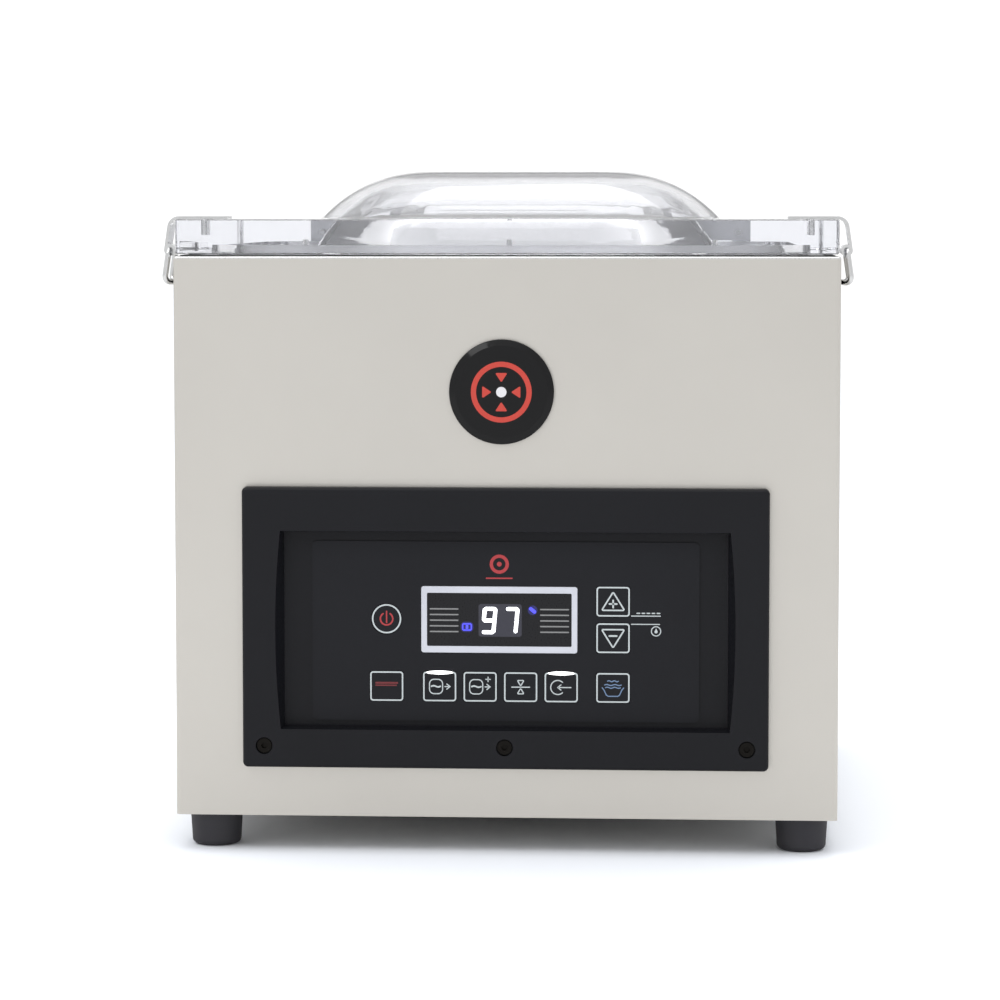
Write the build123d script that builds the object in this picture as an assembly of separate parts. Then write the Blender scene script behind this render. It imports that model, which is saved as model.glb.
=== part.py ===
"""Tabletop chamber vacuum packing machine, as an assembly of separate pieces.

Millimetres, +Z up, +X to the operator's right, the operator standing at -Y.
The origin is the middle of the footprint, on the surface that the feet stand on.
Each sub-part is one function that returns its solids; the last block writes them.
"""

from build123d import *
import math
import os

# ---- Casing ---------------------------------------------------------------
SHEET = 1.5
CASE_W = 384.0
CASE_FRONT = -225.5
CASE_REAR = 206.5
CASE_BOTTOM = 21.0
DECK_TOP = 346.0
CASE_BEND_R = 2.5
REAR_FLANGE = 14.0
SIDE_X = CASE_W / 2
PANEL_Y = CASE_REAR - SHEET  # plane where the rear panel lies on the casing's flanges
BASE_TOP = CASE_BOTTOM + SHEET
BASE_LIP = 14.0
PANEL_SCREW_R = 1.9
REAR_SCREWS = [(s * (SIDE_X - 8.5), z) for s in (-1, 1) for z in (40.0, 135.0, 230.0, 325.0)]

# ---- Vacuum chamber -------------------------------------------------------
CHAMBER_W = 330.0
CHAMBER_L = 360.0
CHAMBER_R = 40.0
CHAMBER_FLOOR = 236.0
CHAMBER_FLOOR_R = 14.0
CHAMBER_Y = -11.5
CHAMBER_REAR = CHAMBER_Y + CHAMBER_L / 2
SUCTION_X = 60.0
SUCTION_Z = 285.0
SUCTION_R = 9.0
SUCTION_ELBOW = 18.0  # from the chamber's rear wall to the suction hose
SUCTION_DROP = 28.0

# ---- Lid ------------------------------------------------------------------
LID_W = 382.0
LID_FRONT = -224.5
LID_REAR = 204.0
LID_GAP = 1.2
LID_BOTTOM = DECK_TOP + LID_GAP
LID_T = 20.0
LID_TOP = LID_BOTTOM + LID_T
LID_CORNER_R = 3.0
LID_EDGE = 0.7
DOME_W = 249.0
DOME_L = 262.0
DOME_Y = -5.0
DOME_R = 80.0
DOME_H = 29.1
DOME_SLOPE = 46.0  # lean of the dome's flank from the vertical, in degrees
DOME_CROWN_R = 87.0
DOME_WALL = 9.0  # over the hollow
DOME_FOOT_WALL = 15.0  # across the flank at the lid's top, from the outside to the hollow
HOLLOW_SLOPE = 35.0  # lean of the hollow's flank from the vertical, in degrees
HOLLOW_CROWN_R = 60.0
DOME_ROOT_R = 4.0
GASKET_W = 8.0
GASKET_SEAT = 5.0
GASKET_MARGIN = 3.0  # from the chamber's mouth to the gasket's inner edge
FIT_GAP = 0.1  # shim or glue line between the clear lid and whatever is fixed to it
LID_SCREW_R = 2.0
LID_SCREW_DEPTH = 9.0

# ---- Lid hinges -----------------------------------------------------------
HINGE_X = 120.0
HINGE_Y = 215.0
HINGE_Z = 345.0
HINGE_PIN_R = 3.0
HINGE_LEAF_T = 2.5
HINGE_LEAF_W = 50.0
HINGE_KNUCKLE_R = 5.0
HINGE_BARREL_R = 6.5
HINGE_BARREL_HALF = 12.5
HINGE_RUN = 0.05  # radial clearance of the pin in the fixed barrel
LEAF_SCREWS = [(s * HINGE_X + dx, 326.0) for s in (-1, 1) for dx in (-15.0, 15.0)]
LEAF_LID_SCREWS = [(s * HINGE_X + dx, 358.0) for s in (-1, 1) for dx in (-17.0, 17.0)]
LEAF_LID_SCREW_L = 14.0
SPRING_WIRE_R = 0.7
SPRING_MEAN_R = 4.1

# ---- Side clips: strap on the lid, wire bail, catch slot in the casing -----
CLIP_Y = -203.0
STRAP_T = 1.6
STRAP_HALF_W = 10.0
STRAP_INNER_X = 162.0
STRAP_CORNER_X = 195.4
STRAP_BEND_R = 6.0
EYE_X = 195.6
EYE_Z = 349.4
WIRE_R = 1.7
WIRE_RUN = 0.05
WIRE_PIN = 9.0
WIRE_LEG_Y = 13.2
WIRE_KNEE_X = 198.3
WIRE_FOOT_X = 194.0
WIRE_FOOT_Z = 331.0
WIRE_FOOT_TURN = 4.5  # how far along Y the wire comes in from its knee to its foot
CATCH_T = 1.4
CATCH_PLATE = (40.0, 16.0)
CATCH_SLOT = (31.0, 4.2)
CATCH_SLOT_CUT = 8.0
STRAP_SCREW_X = 175.0
STRAP_SCREWS = [(STRAP_SCREW_X, CLIP_Y + dy) for dy in (-5.0, 5.0)]

# ---- Control panel --------------------------------------------------------
BEZEL_W = 304.0
BEZEL_Z = (50.2, 213.2)
BEZEL_PROUD = 7.0
BEZEL_FACE = CASE_FRONT - BEZEL_PROUD
RECESS_Z = (72.7, 188.0)
RECESS_HALF_W = 129.7
RECESS_BOW = 3.0  # how far the recess's side edges bow outwards at mid height
RECESS_FLOOR = CASE_FRONT + 3.0
RECESS_FLOOR_T = 3.0
RECESS_DRAFT = 1.2
TRAY_WALL = 2.5
OVERLAY_W = 224.0
OVERLAY_Z = (77.1, 181.5)
OVERLAY_T = 1.0
OVERLAY_FACE = RECESS_FLOOR - OVERLAY_T
KEY_W = 19.6
KEY_H = 17.6
KEY_R = 1.6
KEY_GAP = 0.25
KEY_T = 1.2
KEY_TRAVEL = 0.5
KEY_POCKET = 1.0
KEY_STEM_R = 2.0
KEY_STEM_END = OVERLAY_FACE + 4.8
POWER_KEY_R = 8.9
ROW_Z = 97.0
ROW_PITCH = 23.5
VACUUM_KEY_X = -38.1
SIDE_KEY_X = 62.3
# name: (x, z) of the key's centre
KEYS = {
    "power_key": (-68.9, 136.3),
    "stop_key": (-68.9, ROW_Z),
    "vacuum_key": (VACUUM_KEY_X, ROW_Z),
    "vacuum_plus_key": (VACUUM_KEY_X + ROW_PITCH, ROW_Z),
    "seal_key": (VACUUM_KEY_X + 2 * ROW_PITCH, ROW_Z),
    "vent_key": (VACUUM_KEY_X + 3 * ROW_PITCH, ROW_Z),
    "marinate_key": (SIDE_KEY_X, ROW_Z),
    "increase_key": (SIDE_KEY_X, 147.1),
    "decrease_key": (SIDE_KEY_X, 125.9),
}
DISPLAY_X = -3.5
DISPLAY_Z = 136.2
DISPLAY_FRAME = (90.4, 38.6)
DISPLAY_WINDOW = (83.8, 31.0)
DISPLAY_PROUD = 0.6
BOARD_FACE = -214.0
BOARD_T = 1.6
BOARD_HALF_W = 100.0
BOARD_Z = (82.0, 176.0)
SWITCH_SIZE = 6.0
SWITCH_CAP_R = 1.75
BEZEL_SCREW_X = 139.5
BEZEL_SCREW_Z = 62.9
BEZEL_SCREW_HEAD_R = 4.2
BEZEL_SCREW_WELL_R = 4.9
BADGE_X = -2.0
BADGE_Z = 268.3
BADGE_R = 30.2
BADGE_T = 4.0

# ---- Feet -----------------------------------------------------------------
FOOT_X = 172.0
FOOT_Y = (-199.0, 180.0)
FOOT_TOP_R = 15.5
FOOT_BOTTOM_R = 14.2
FOOT_SCREW_R = 3.0
FOOT_WELL_R = 7.5
FOOT_WELL_Z = 11.0

# ---- Sealing bar and its lift --------------------------------------------
BAR_Y = -160.0
BAR_LEN = 304.0
BAR_W = 18.0
BAR_Z = (277.0, 325.0)
INSULATOR_T = 3.0
WIRE_BAND_T = 0.4
TAPE_T = 0.4
LIFT_X = 110.0
LIFT_R = 14.5
LIFT_BORE_R = 12.0
LIFT_TOP = 270.0
LIFT_ROD_R = 6.0
LIFT_ROD_RUN = 0.05
LIFT_SOCKET = 12.0
LIFT_NIPPLE_R = 5.0
LIFT_NIPPLE_END = 214.0
COUNTER_T = 8.0
COUNTER_TOP = LID_BOTTOM - FIT_GAP
COUNTER_GROOVE = 4.0
COUNTER_STRIP = 3.0
COUNTER_STRIP_W = 12.0
COUNTER_SCREWS = [-120.0, 0.0, 120.0]
COUNTER_SCREW_R = 1.6
FILLER_T = 12.0
FILLER_W = 284.0
FILLER_L = 284.0
FILLER_R = 34.0
FILLER_Y = 2.0

# ---- Pump set -------------------------------------------------------------
PUMP_Y = 60.0
PUMP_Z = 100.0
PUMP_FOOT = 38.0
PUMP_X = (-95.0, 5.0)
ROTOR_R = 33.0
ROTOR_OFFSET = 4.0
STATOR_R = 38.0
SHAFT_R = 8.0
SHAFT_RUN = 0.05
PUMP_HALF_L = 55.0
PUMP_HEAD = 156.0
PUMP_TOP = 165.0
INLET_X = -45.0
INLET_R = 14.0
MOTOR_R = 60.0
MOTOR_CORE_R = 54.0
MOTOR_X = (5.0, 130.0)
MOTOR_FINS = 11
MOTOR_FIN_PITCH = 10.0
MOTOR_SHOE = (90.0, 18.0)
TERMINAL_BOX = (50.0, 25.0)
COWL_X = 158.0
COWL_WALL = 3.0
FAN_HUB_R = 16.0
FAN_BLADES = 7
TANK_X = (-160.0, -95.0)
TANK_HALF_L = 60.0
TANK_TOP = 170.0
TANK_WALL = 4.0
MOUNT_R = 11.0
MOUNT_X = (-130.0, -40.0, 65.0)
MOUNT_HALF_Y = 38.0

# ---- Valves, transformer and power board ----------------------------------
VALVE_X = (160.0, 188.0)
VALVE_Y = (-80.0, 30.0)
VALVE_Z = (178.0, 206.0)
VALVE_PORTS = [(166.0, 197.0), (180.0, 186.0)]
COIL_Y = (-60.0, -25.0, 10.0)
COIL_X = 128.0
COIL_HALF = 12.0
COIL_TUBE_R = 5.0
RING_CORE = (-115.0, -120.0)
RING_CORE_R = 54.0
RING_CORE_H = 50.0
RING_CORE_BORE_R = 16.0
POWER_BOARD_X = (10.0, 140.0)
POWER_BOARD_Y = (-190.0, -70.0)
POWER_BOARD_LIFT = 10.0
POWER_BOARD_T = 1.6
HOSE_Z = 196.0
HOSE_R = (9.0, 6.5)
AIR_HOSE_R = (3.0, 1.5)

# ---- Rear panel -----------------------------------------------------------
VENT_SLOT = (70.0, 4.0)
VENT_ROWS = 9
VENT_PITCH = 9.0
VENT_Z = 150.0
VENT_X = (-40.0, 44.0)
SOCKET_X = 140.0
SOCKET_Z = 58.0
SOCKET_FLANGE = (32.0, 26.0)
SOCKET_BODY = (27.6, 20.6)
SOCKET_BODY_Y = 184.0
SOCKET_CAVITY = (24.6, 16.8)
SOCKET_DEPTH = 15.0
ROCKER_X = 98.0
ROCKER_Z = 58.0
ROCKER_Y = 202.0
ROCKER_R = 12.5
ROCKER_FACE = 7.5  # from the rocker's axis to each of its two flat faces
ROCKER_LEAN = 16.0
ROCKER_HALF_W = 7.7
ROCKER_PIVOT_R = 1.5
SWITCH_FLANGE = (24.0, 33.0)
SWITCH_BODY = (19.0, 28.0)
SWITCH_BODY_Y = 186.0
MUFFLER_X = -128.0
MUFFLER_Z = 120.0
MUFFLER_R = 20.0
MUFFLER_NECK_R = 10.0
REAR_END = -BEZEL_FACE  # the muffler reaches as far back as the bezel reaches forward


# ---- Small shapes used all over ------------------------------------------
def block(x, y, z):
    """A box given as (low, high) along each axis."""
    size = [high - low for low, high in (x, y, z)]
    middle = [(high + low) / 2 for low, high in (x, y, z)]
    return Pos(*middle) * Box(*size)


def post(x, y, z, radius):
    """A vertical cylinder from z[0] to z[1]."""
    return Pos(x, y, (z[0] + z[1]) / 2) * Cylinder(radius, z[1] - z[0])


def rod_x(x, y, z, radius):
    """A cylinder along X from x[0] to x[1]."""
    return Pos((x[0] + x[1]) / 2, y, z) * Rot(0, 90, 0) * Cylinder(radius, x[1] - x[0])


def rod_y(x, y, z, radius):
    """A cylinder along Y from y[0] to y[1]."""
    return Pos(x, (y[0] + y[1]) / 2, z) * Rot(90, 0, 0) * Cylinder(radius, y[1] - y[0])


def slab(width, length, radius, centre, z):
    """A rounded rectangle, seen from above, extruded from z[0] to z[1]."""
    outline = Pos(centre[0], centre[1], z[0]) * RectangleRounded(width, length, radius)
    return extrude(outline, amount=z[1] - z[0])


def upright(width, height, radius, centre, y):
    """A rounded rectangle, seen from the front, extruded from y[0] to y[1]."""
    face = Plane((centre[0], y[0], centre[1]), x_dir=(1, 0, 0), z_dir=(0, 1, 0))
    return extrude(face * RectangleRounded(width, height, radius), amount=y[1] - y[0])


def both_sides(right):
    """The right-hand piece and its mirror image."""
    return [right, mirror(right, about=Plane.YZ)]


def tube(points, radii, outer_r, inner_r):
    """A hollow hose along straight runs joined by arcs."""
    route = FilletPolyline(*points, radius=radii)
    section = Plane(route @ 0, z_dir=route % 0) * (Circle(outer_r) - Circle(inner_r))
    return sweep(section, path=route)


def front_screw(x, y_head, z, head_r, head_h, shank_r, length):
    """A socket-head screw driven along +Y, its head's face at y_head."""
    head = rod_y(x, (y_head, y_head + head_h), z, head_r)
    shank = rod_y(x, (y_head + head_h, y_head + head_h + length), z, shank_r)
    hexagon = extrude(RegularPolygon(head_r * 0.45, 6), amount=head_h * 0.6, both=True)
    socket = Pos(x, y_head, z) * Rot(90, 0, 0) * hexagon
    return head + shank - socket


def rear_screw(x, y_seat, z, head_r, head_h, shank_r, length):
    """A pan-head screw driven along -Y, its head lying on the plane y_seat."""
    head = rod_y(x, (y_seat, y_seat + head_h), z, head_r)
    head = fillet(head.edges().filter_by(GeomType.CIRCLE).sort_by(Axis.Y)[-1], head_h * 0.6)
    slot = block((x - head_r, x + head_r), (y_seat + head_h * 0.55, y_seat + head_h + 1), (z - 0.5, z + 0.5))
    cross = block((x - 0.5, x + 0.5), (y_seat + head_h * 0.55, y_seat + head_h + 1), (z - head_r, z + head_r))
    shank = rod_y(x, (y_seat - length, y_seat), z, shank_r)
    reach = rod_y(x, (y_seat, y_seat + head_h), z, head_r * 0.62)
    return head + shank - ((slot + cross) & reach)


# ---- Casing ---------------------------------------------------------------
def casing():
    """One sheet wrapped round the front and both sides, with flanges turned in at the rear."""
    middle = (CASE_FRONT + PANEL_Y) / 2
    depth = PANEL_Y - CASE_FRONT
    height = (CASE_BOTTOM, DECK_TOP - SHEET)
    shell = slab(CASE_W, depth, CASE_BEND_R, (0, middle), height)
    shell -= slab(CASE_W - 2 * SHEET, depth - 2 * SHEET, CASE_BEND_R - SHEET, (0, middle), height)
    opening = SIDE_X - REAR_FLANGE
    shell -= block((-opening, opening), (PANEL_Y - 5, PANEL_Y + 5), height)
    recess_middle = sum(RECESS_Z) / 2
    window_w = 2 * (RECESS_HALF_W + RECESS_BOW + TRAY_WALL) + 1
    window_h = RECESS_Z[1] - RECESS_Z[0] + 2 * TRAY_WALL + 1
    shell -= upright(window_w, window_h, 3, (0, recess_middle), (CASE_FRONT - 1, CASE_FRONT + 5))
    for x in (-BEZEL_SCREW_X, 0, BEZEL_SCREW_X):
        shell -= rod_y(x, (CASE_FRONT - 1, CASE_FRONT + 5), BEZEL_SCREW_Z, 2.0)
    for x, z in REAR_SCREWS:
        shell -= rod_y(x, (PANEL_Y - 5, PANEL_Y + 1), z, PANEL_SCREW_R)
    for side in (-1, 1):
        shell -= Pos(side * SIDE_X, CLIP_Y, WIRE_FOOT_Z) * Box(CATCH_SLOT_CUT, *CATCH_SLOT)
    return shell


def deck_chamber():
    """The top deck and the deep-drawn chamber, one pressed stainless sheet."""
    middle = (CASE_FRONT + CASE_REAR) / 2
    deck = slab(CASE_W, CASE_REAR - CASE_FRONT, CASE_BEND_R, (0, middle), (DECK_TOP - SHEET, DECK_TOP))
    deck = fillet(deck.faces().sort_by(Axis.Z)[-1].edges(), SHEET * 0.85)
    outer = slab(CHAMBER_W + 2 * SHEET, CHAMBER_L + 2 * SHEET, CHAMBER_R + SHEET,
                 (0, CHAMBER_Y), (CHAMBER_FLOOR - SHEET, DECK_TOP - SHEET))
    outer = fillet(outer.faces().sort_by(Axis.Z)[0].edges(), CHAMBER_FLOOR_R + SHEET)
    inner = slab(CHAMBER_W, CHAMBER_L, CHAMBER_R, (0, CHAMBER_Y), (CHAMBER_FLOOR, DECK_TOP + 5))
    inner = fillet(inner.faces().sort_by(Axis.Z)[0].edges(), CHAMBER_FLOOR_R)
    tub = deck + outer - inner
    for x in (-LIFT_X, LIFT_X):
        tub -= post(x, BAR_Y, (CHAMBER_FLOOR - 5, CHAMBER_FLOOR + 5), LIFT_NIPPLE_R)
    tub -= rod_y(SUCTION_X, (CHAMBER_REAR - 5, CHAMBER_REAR + 5), SUCTION_Z, SUCTION_R)
    return tub


def rear_panel():
    """Flat removable back, with vent slots and cut-outs for the inlet, switch and muffler."""
    half = SIDE_X - 1.0
    panel = block((-half, half), (PANEL_Y, CASE_REAR), (CASE_BOTTOM + 2, DECK_TOP - SHEET))
    for x in VENT_X:
        for row in range(VENT_ROWS):
            panel -= upright(*VENT_SLOT, 1.9, (x, VENT_Z + row * VENT_PITCH), (PANEL_Y - 1, CASE_REAR + 1))
    panel -= upright(28, 21, 2, (SOCKET_X, SOCKET_Z), (PANEL_Y - 1, CASE_REAR + 1))
    panel -= upright(19.4, 28.4, 2, (ROCKER_X, ROCKER_Z), (PANEL_Y - 1, CASE_REAR + 1))
    panel -= rod_y(MUFFLER_X, (PANEL_Y - 1, CASE_REAR + 1), MUFFLER_Z, MUFFLER_NECK_R)
    for x, z in REAR_SCREWS + LEAF_SCREWS:
        panel -= rod_y(x, (PANEL_Y - 1, CASE_REAR + 1), z, PANEL_SCREW_R)
    return panel


def base_plate():
    """Folded tray that closes the bottom and carries the pump set and the feet."""
    half = SIDE_X - SHEET
    y = (CASE_FRONT + SHEET, PANEL_Y - SHEET)
    middle = (y[0] + y[1]) / 2
    length = y[1] - y[0]
    corner = CASE_BEND_R - SHEET
    tray = slab(2 * half, length, corner, (0, middle), (CASE_BOTTOM, CASE_BOTTOM + BASE_LIP))
    hollow_z = (BASE_TOP, CASE_BOTTOM + BASE_LIP + 1)
    tray -= block((-half + SHEET, half - SHEET), (y[0] + SHEET, y[1] - SHEET), hollow_z)
    for x in (-FOOT_X, FOOT_X):
        for foot_y in FOOT_Y:
            tray -= post(x, foot_y, (CASE_BOTTOM - 1, BASE_TOP + 1), FOOT_SCREW_R)
    for row in range(8):
        tray -= slab(90, 4, 1.9, (0, -120 + row * VENT_PITCH), (CASE_BOTTOM - 1, BASE_TOP + 1))
    return tray


def case_screws():
    """Screws of the rear panel, of the hinges' fixed leaves and of the feet."""
    leaf_face = CASE_REAR + HINGE_LEAF_T
    panel = [rear_screw(x, CASE_REAR, z, 4.0, 2.4, PANEL_SCREW_R, 9) for x, z in REAR_SCREWS]
    leaf = [rear_screw(x, leaf_face, z, 3.6, 2.0, PANEL_SCREW_R, 10) for x, z in LEAF_SCREWS]
    return panel + leaf + foot_screws()


def rubber_feet():
    """Four tapered rubber feet, each with a well for its screw."""
    feet = []
    for x in (-FOOT_X, FOOT_X):
        for y in FOOT_Y:
            foot = Pos(x, y, CASE_BOTTOM / 2) * Cone(FOOT_BOTTOM_R, FOOT_TOP_R, CASE_BOTTOM)
            foot = fillet(foot.faces().sort_by(Axis.Z)[0].edges(), 3.0)
            foot -= post(x, y, (-1, FOOT_WELL_Z), FOOT_WELL_R)
            foot -= post(x, y, (0, CASE_BOTTOM + 1), FOOT_SCREW_R)
            feet.append(foot)
    return feet


def foot_screws():
    """Hexagon screws up through the feet, with their nuts inside the casing."""
    screws = []
    for x in (-FOOT_X, FOOT_X):
        for y in FOOT_Y:
            head = Pos(x, y, FOOT_WELL_Z - 4) * extrude(RegularPolygon(5.8, 6), amount=4)
            nut = Pos(x, y, BASE_TOP) * extrude(RegularPolygon(5.8, 6), amount=5)
            screws.append(head + nut + post(x, y, (FOOT_WELL_Z - 4, BASE_TOP + 8), FOOT_SCREW_R))
    return screws


# ---- Control panel --------------------------------------------------------
def recess_mouth():
    """Outline of the recess at the bezel's face: straight top and bottom, bowed sides."""
    low, high = RECESS_Z
    middle, half = (low + high) / 2, RECESS_HALF_W
    corners = [(-half, low), (half, low), (half, high), (-half, high)]
    outline = [
        Line(corners[0], corners[1]),
        ThreePointArc(corners[1], (half + RECESS_BOW, middle), corners[2]),
        Line(corners[2], corners[3]),
        ThreePointArc(corners[3], (-half - RECESS_BOW, middle), corners[0]),
    ]
    return make_face(outline)


def front_plane(y):
    """A plane facing the back, whose own x and y are the machine's X and Z."""
    return Plane((0, y, 0), x_dir=(1, 0, 0), z_dir=(0, -1, 0))


def key_outline(name, grow=0.0):
    """A key's outline, seen from the front and grown on every side."""
    x, z = KEYS[name]
    if name == "power_key":
        return Pos(x, z) * Circle(POWER_KEY_R + grow)
    return Pos(x, z) * RectangleRounded(KEY_W + 2 * grow, KEY_H + 2 * grow, KEY_R + grow)


def key_shape(name, y, grow=0.0):
    """A key's outline extruded from y[0] back to y[1]."""
    return extrude(front_plane(y[1]) * key_outline(name, grow), amount=y[1] - y[0])


def control_bezel():
    """Moulded black surround with a shallow recess, pockets for the keys and bosses for the board."""
    middle = sum(BEZEL_Z) / 2
    plate = upright(BEZEL_W, BEZEL_Z[1] - BEZEL_Z[0], 3, (0, middle), (BEZEL_FACE, CASE_FRONT))
    plate = fillet(plate.faces().sort_by(Axis.Y)[0].edges(), 2.2)
    recess_middle = sum(RECESS_Z) / 2
    tray_w = 2 * (RECESS_HALF_W + RECESS_BOW + TRAY_WALL)
    tray_h = RECESS_Z[1] - RECESS_Z[0] + 2 * TRAY_WALL
    floor_back = RECESS_FLOOR + RECESS_FLOOR_T
    bezel = plate + upright(tray_w, tray_h, 3, (0, recess_middle), (CASE_FRONT, floor_back))
    floor_w = 2 * (RECESS_HALF_W - RECESS_DRAFT)
    floor_h = RECESS_Z[1] - RECESS_Z[0] - 2 * RECESS_DRAFT
    mouth = front_plane(BEZEL_FACE) * recess_mouth()
    floor = front_plane(RECESS_FLOOR) * Pos(0, recess_middle) * Rectangle(floor_w, floor_h)
    bezel -= loft([mouth.face(), floor.face()], ruled=True)
    for name, (x, z) in KEYS.items():
        bezel -= key_shape(name, (RECESS_FLOOR - 1, RECESS_FLOOR + KEY_POCKET), KEY_GAP)
        bezel -= rod_y(x, (RECESS_FLOOR, floor_back + 1), z, KEY_STEM_R + 0.3)
    bezel -= upright(78, 26, 1, (DISPLAY_X, DISPLAY_Z), (RECESS_FLOOR - 1, floor_back + 1))
    for x in (-95.0, 95.0):
        for z in (BOARD_Z[0] + 5, BOARD_Z[1] - 5):
            bezel += rod_y(x, (floor_back, BOARD_FACE), z, 3.5)
    for x in (-BEZEL_SCREW_X, 0, BEZEL_SCREW_X):
        bezel -= rod_y(x, (BEZEL_FACE - 1, BEZEL_FACE + 4), BEZEL_SCREW_Z, BEZEL_SCREW_WELL_R)
        bezel -= rod_y(x, (BEZEL_FACE, CASE_FRONT + 1), BEZEL_SCREW_Z, 2.0)
    return bezel


def bezel_screws():
    """Three black socket screws along the bezel's lower edge."""
    screws = []
    for x in (-BEZEL_SCREW_X, 0, BEZEL_SCREW_X):
        screws.append(front_screw(x, BEZEL_FACE + 1.0, BEZEL_SCREW_Z, BEZEL_SCREW_HEAD_R, 3.0, 2.0, 9))
    return screws


def overlay_panel():
    """Front film of the keypad, with windows for the keys and the display."""
    middle = sum(OVERLAY_Z) / 2
    film = upright(OVERLAY_W, OVERLAY_Z[1] - OVERLAY_Z[0], 3, (0, middle), (OVERLAY_FACE, RECESS_FLOOR))
    for name in KEYS:
        film -= key_shape(name, (OVERLAY_FACE - 1, RECESS_FLOOR + 1), KEY_GAP)
    film -= upright(*DISPLAY_FRAME, 1.5, (DISPLAY_X, DISPLAY_Z), (OVERLAY_FACE - 1, RECESS_FLOOR + 1))
    return film


def key(name):
    """A key pad with the stem that reaches its switch."""
    x, z = KEYS[name]
    pad = key_shape(name, (OVERLAY_FACE, OVERLAY_FACE + KEY_T))
    pad = fillet(pad.faces().sort_by(Axis.Y)[0].edges(), 0.2)
    return pad + rod_y(x, (OVERLAY_FACE + KEY_T, KEY_STEM_END), z, KEY_STEM_R)


def display_frame():
    """Light frame round the display."""
    y = (OVERLAY_FACE - DISPLAY_PROUD, RECESS_FLOOR)
    frame = upright(*DISPLAY_FRAME, 1.5, (DISPLAY_X, DISPLAY_Z), y)
    frame = fillet(frame.faces().sort_by(Axis.Y)[0].edges(), 0.3)
    return frame - upright(*DISPLAY_WINDOW, 0.8, (DISPLAY_X, DISPLAY_Z), (y[0] - 1, y[1] + 1))


def display_window():
    """Smoked lens inside the frame."""
    return upright(*DISPLAY_WINDOW, 0.8, (DISPLAY_X, DISPLAY_Z), (OVERLAY_FACE, RECESS_FLOOR))


def control_board():
    """Printed circuit board behind the bezel, with the digit module that faces the lens."""
    board = block((-BOARD_HALF_W, BOARD_HALF_W), (BOARD_FACE, BOARD_FACE + BOARD_T), BOARD_Z)
    return board + upright(74, 24, 1, (DISPLAY_X, DISPLAY_Z), (RECESS_FLOOR + 0.5, BOARD_FACE))


def tact_switches():
    """One push switch behind each key."""
    switches = []
    half = SWITCH_SIZE / 2
    cap_front = KEY_STEM_END + KEY_TRAVEL + 0.2
    for x, z in KEYS.values():
        body = block((x - half, x + half), (cap_front + 0.6, BOARD_FACE), (z - half, z + half))
        switches.append(body + rod_y(x, (cap_front, cap_front + 0.6), z, SWITCH_CAP_R))
    return switches


def badge():
    """Round domed badge with a broad bevel."""
    disc = rod_y(BADGE_X, (CASE_FRONT - BADGE_T, CASE_FRONT), BADGE_Z, BADGE_R)
    disc = chamfer(disc.faces().sort_by(Axis.Y)[0].edges(), 1.6, 3.6)
    return fillet(disc.edges().filter_by(GeomType.CIRCLE), 0.5)


# ---- Lid ------------------------------------------------------------------
def dome(width, length, radius, z, slope, crown_r):
    """A tapered rounded mound with a rounded crown, standing on z[0] and ending at z[1]."""
    base = Pos(0, DOME_Y, z[0]) * RectangleRounded(width, length, radius)
    mound = extrude(base, amount=z[1] - z[0], taper=slope)
    return fillet(mound.faces().sort_by(Axis.Z)[-1].edges(), crown_r)


def gasket_ring(z, grow=0.0):
    """The ring that the gasket fills, around the chamber's mouth."""
    inner = GASKET_MARGIN - grow
    outer = GASKET_MARGIN + GASKET_W + grow
    ring = slab(CHAMBER_W + 2 * outer, CHAMBER_L + 2 * outer, CHAMBER_R + outer, (0, CHAMBER_Y), z)
    return ring - slab(CHAMBER_W + 2 * inner, CHAMBER_L + 2 * inner, CHAMBER_R + inner, (0, CHAMBER_Y), z)


def lid_shell():
    """Thick clear plate with a blown dome."""
    middle = (LID_FRONT + LID_REAR) / 2
    plate = slab(LID_W, LID_REAR - LID_FRONT, LID_CORNER_R, (0, middle), (LID_BOTTOM, LID_TOP))
    plate = chamfer(plate.faces().sort_by(Axis.Z)[-1].edges(), LID_EDGE)
    plate = chamfer(plate.faces().sort_by(Axis.Z)[0].edges(), LID_EDGE)
    spread = LID_T * math.tan(math.radians(HOLLOW_SLOPE)) - DOME_FOOT_WALL
    shell = plate + dome(DOME_W, DOME_L, DOME_R, (LID_TOP, LID_TOP + DOME_H), DOME_SLOPE, DOME_CROWN_R)
    reach_x, reach_y = DOME_W / 2 + 1, DOME_L / 2 + 1
    root = shell.edges().filter_by_position(Axis.Z, LID_TOP - 0.01, LID_TOP + 0.01)
    root = [e for e in root if abs(e.center().X) < reach_x and abs(e.center().Y - DOME_Y) < reach_y]
    shell = fillet(root, DOME_ROOT_R)
    hollow = dome(DOME_W + 2 * spread, DOME_L + 2 * spread, DOME_R + spread,
                  (LID_BOTTOM, LID_TOP + DOME_H - DOME_WALL), HOLLOW_SLOPE, HOLLOW_CROWN_R)
    shell -= hollow
    shell -= gasket_ring((LID_BOTTOM - 1, LID_BOTTOM + GASKET_SEAT))
    hole_r = LID_SCREW_R + FIT_GAP
    for x, y in STRAP_SCREWS:
        for side in (-1, 1):
            shell -= post(side * x, y, (LID_TOP - LID_SCREW_DEPTH - FIT_GAP, LID_TOP + 1), hole_r)
    for x, z in LEAF_LID_SCREWS:
        shell -= rod_y(x, (LID_REAR + HINGE_LEAF_T - LEAF_LID_SCREW_L, LID_REAR + 1), z, hole_r)
    for x in COUNTER_SCREWS:
        shell -= post(x, BAR_Y, (LID_BOTTOM - 1, LID_BOTTOM + 8), COUNTER_SCREW_R + FIT_GAP)
    return shell


def lid_gasket():
    """Silicone profile glued in the lid's groove, touching the deck."""
    ring = gasket_ring((DECK_TOP, LID_BOTTOM + GASKET_SEAT - FIT_GAP), -FIT_GAP)
    return chamfer(ring.faces().sort_by(Axis.Z)[0].edges(), 0.8)


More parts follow.
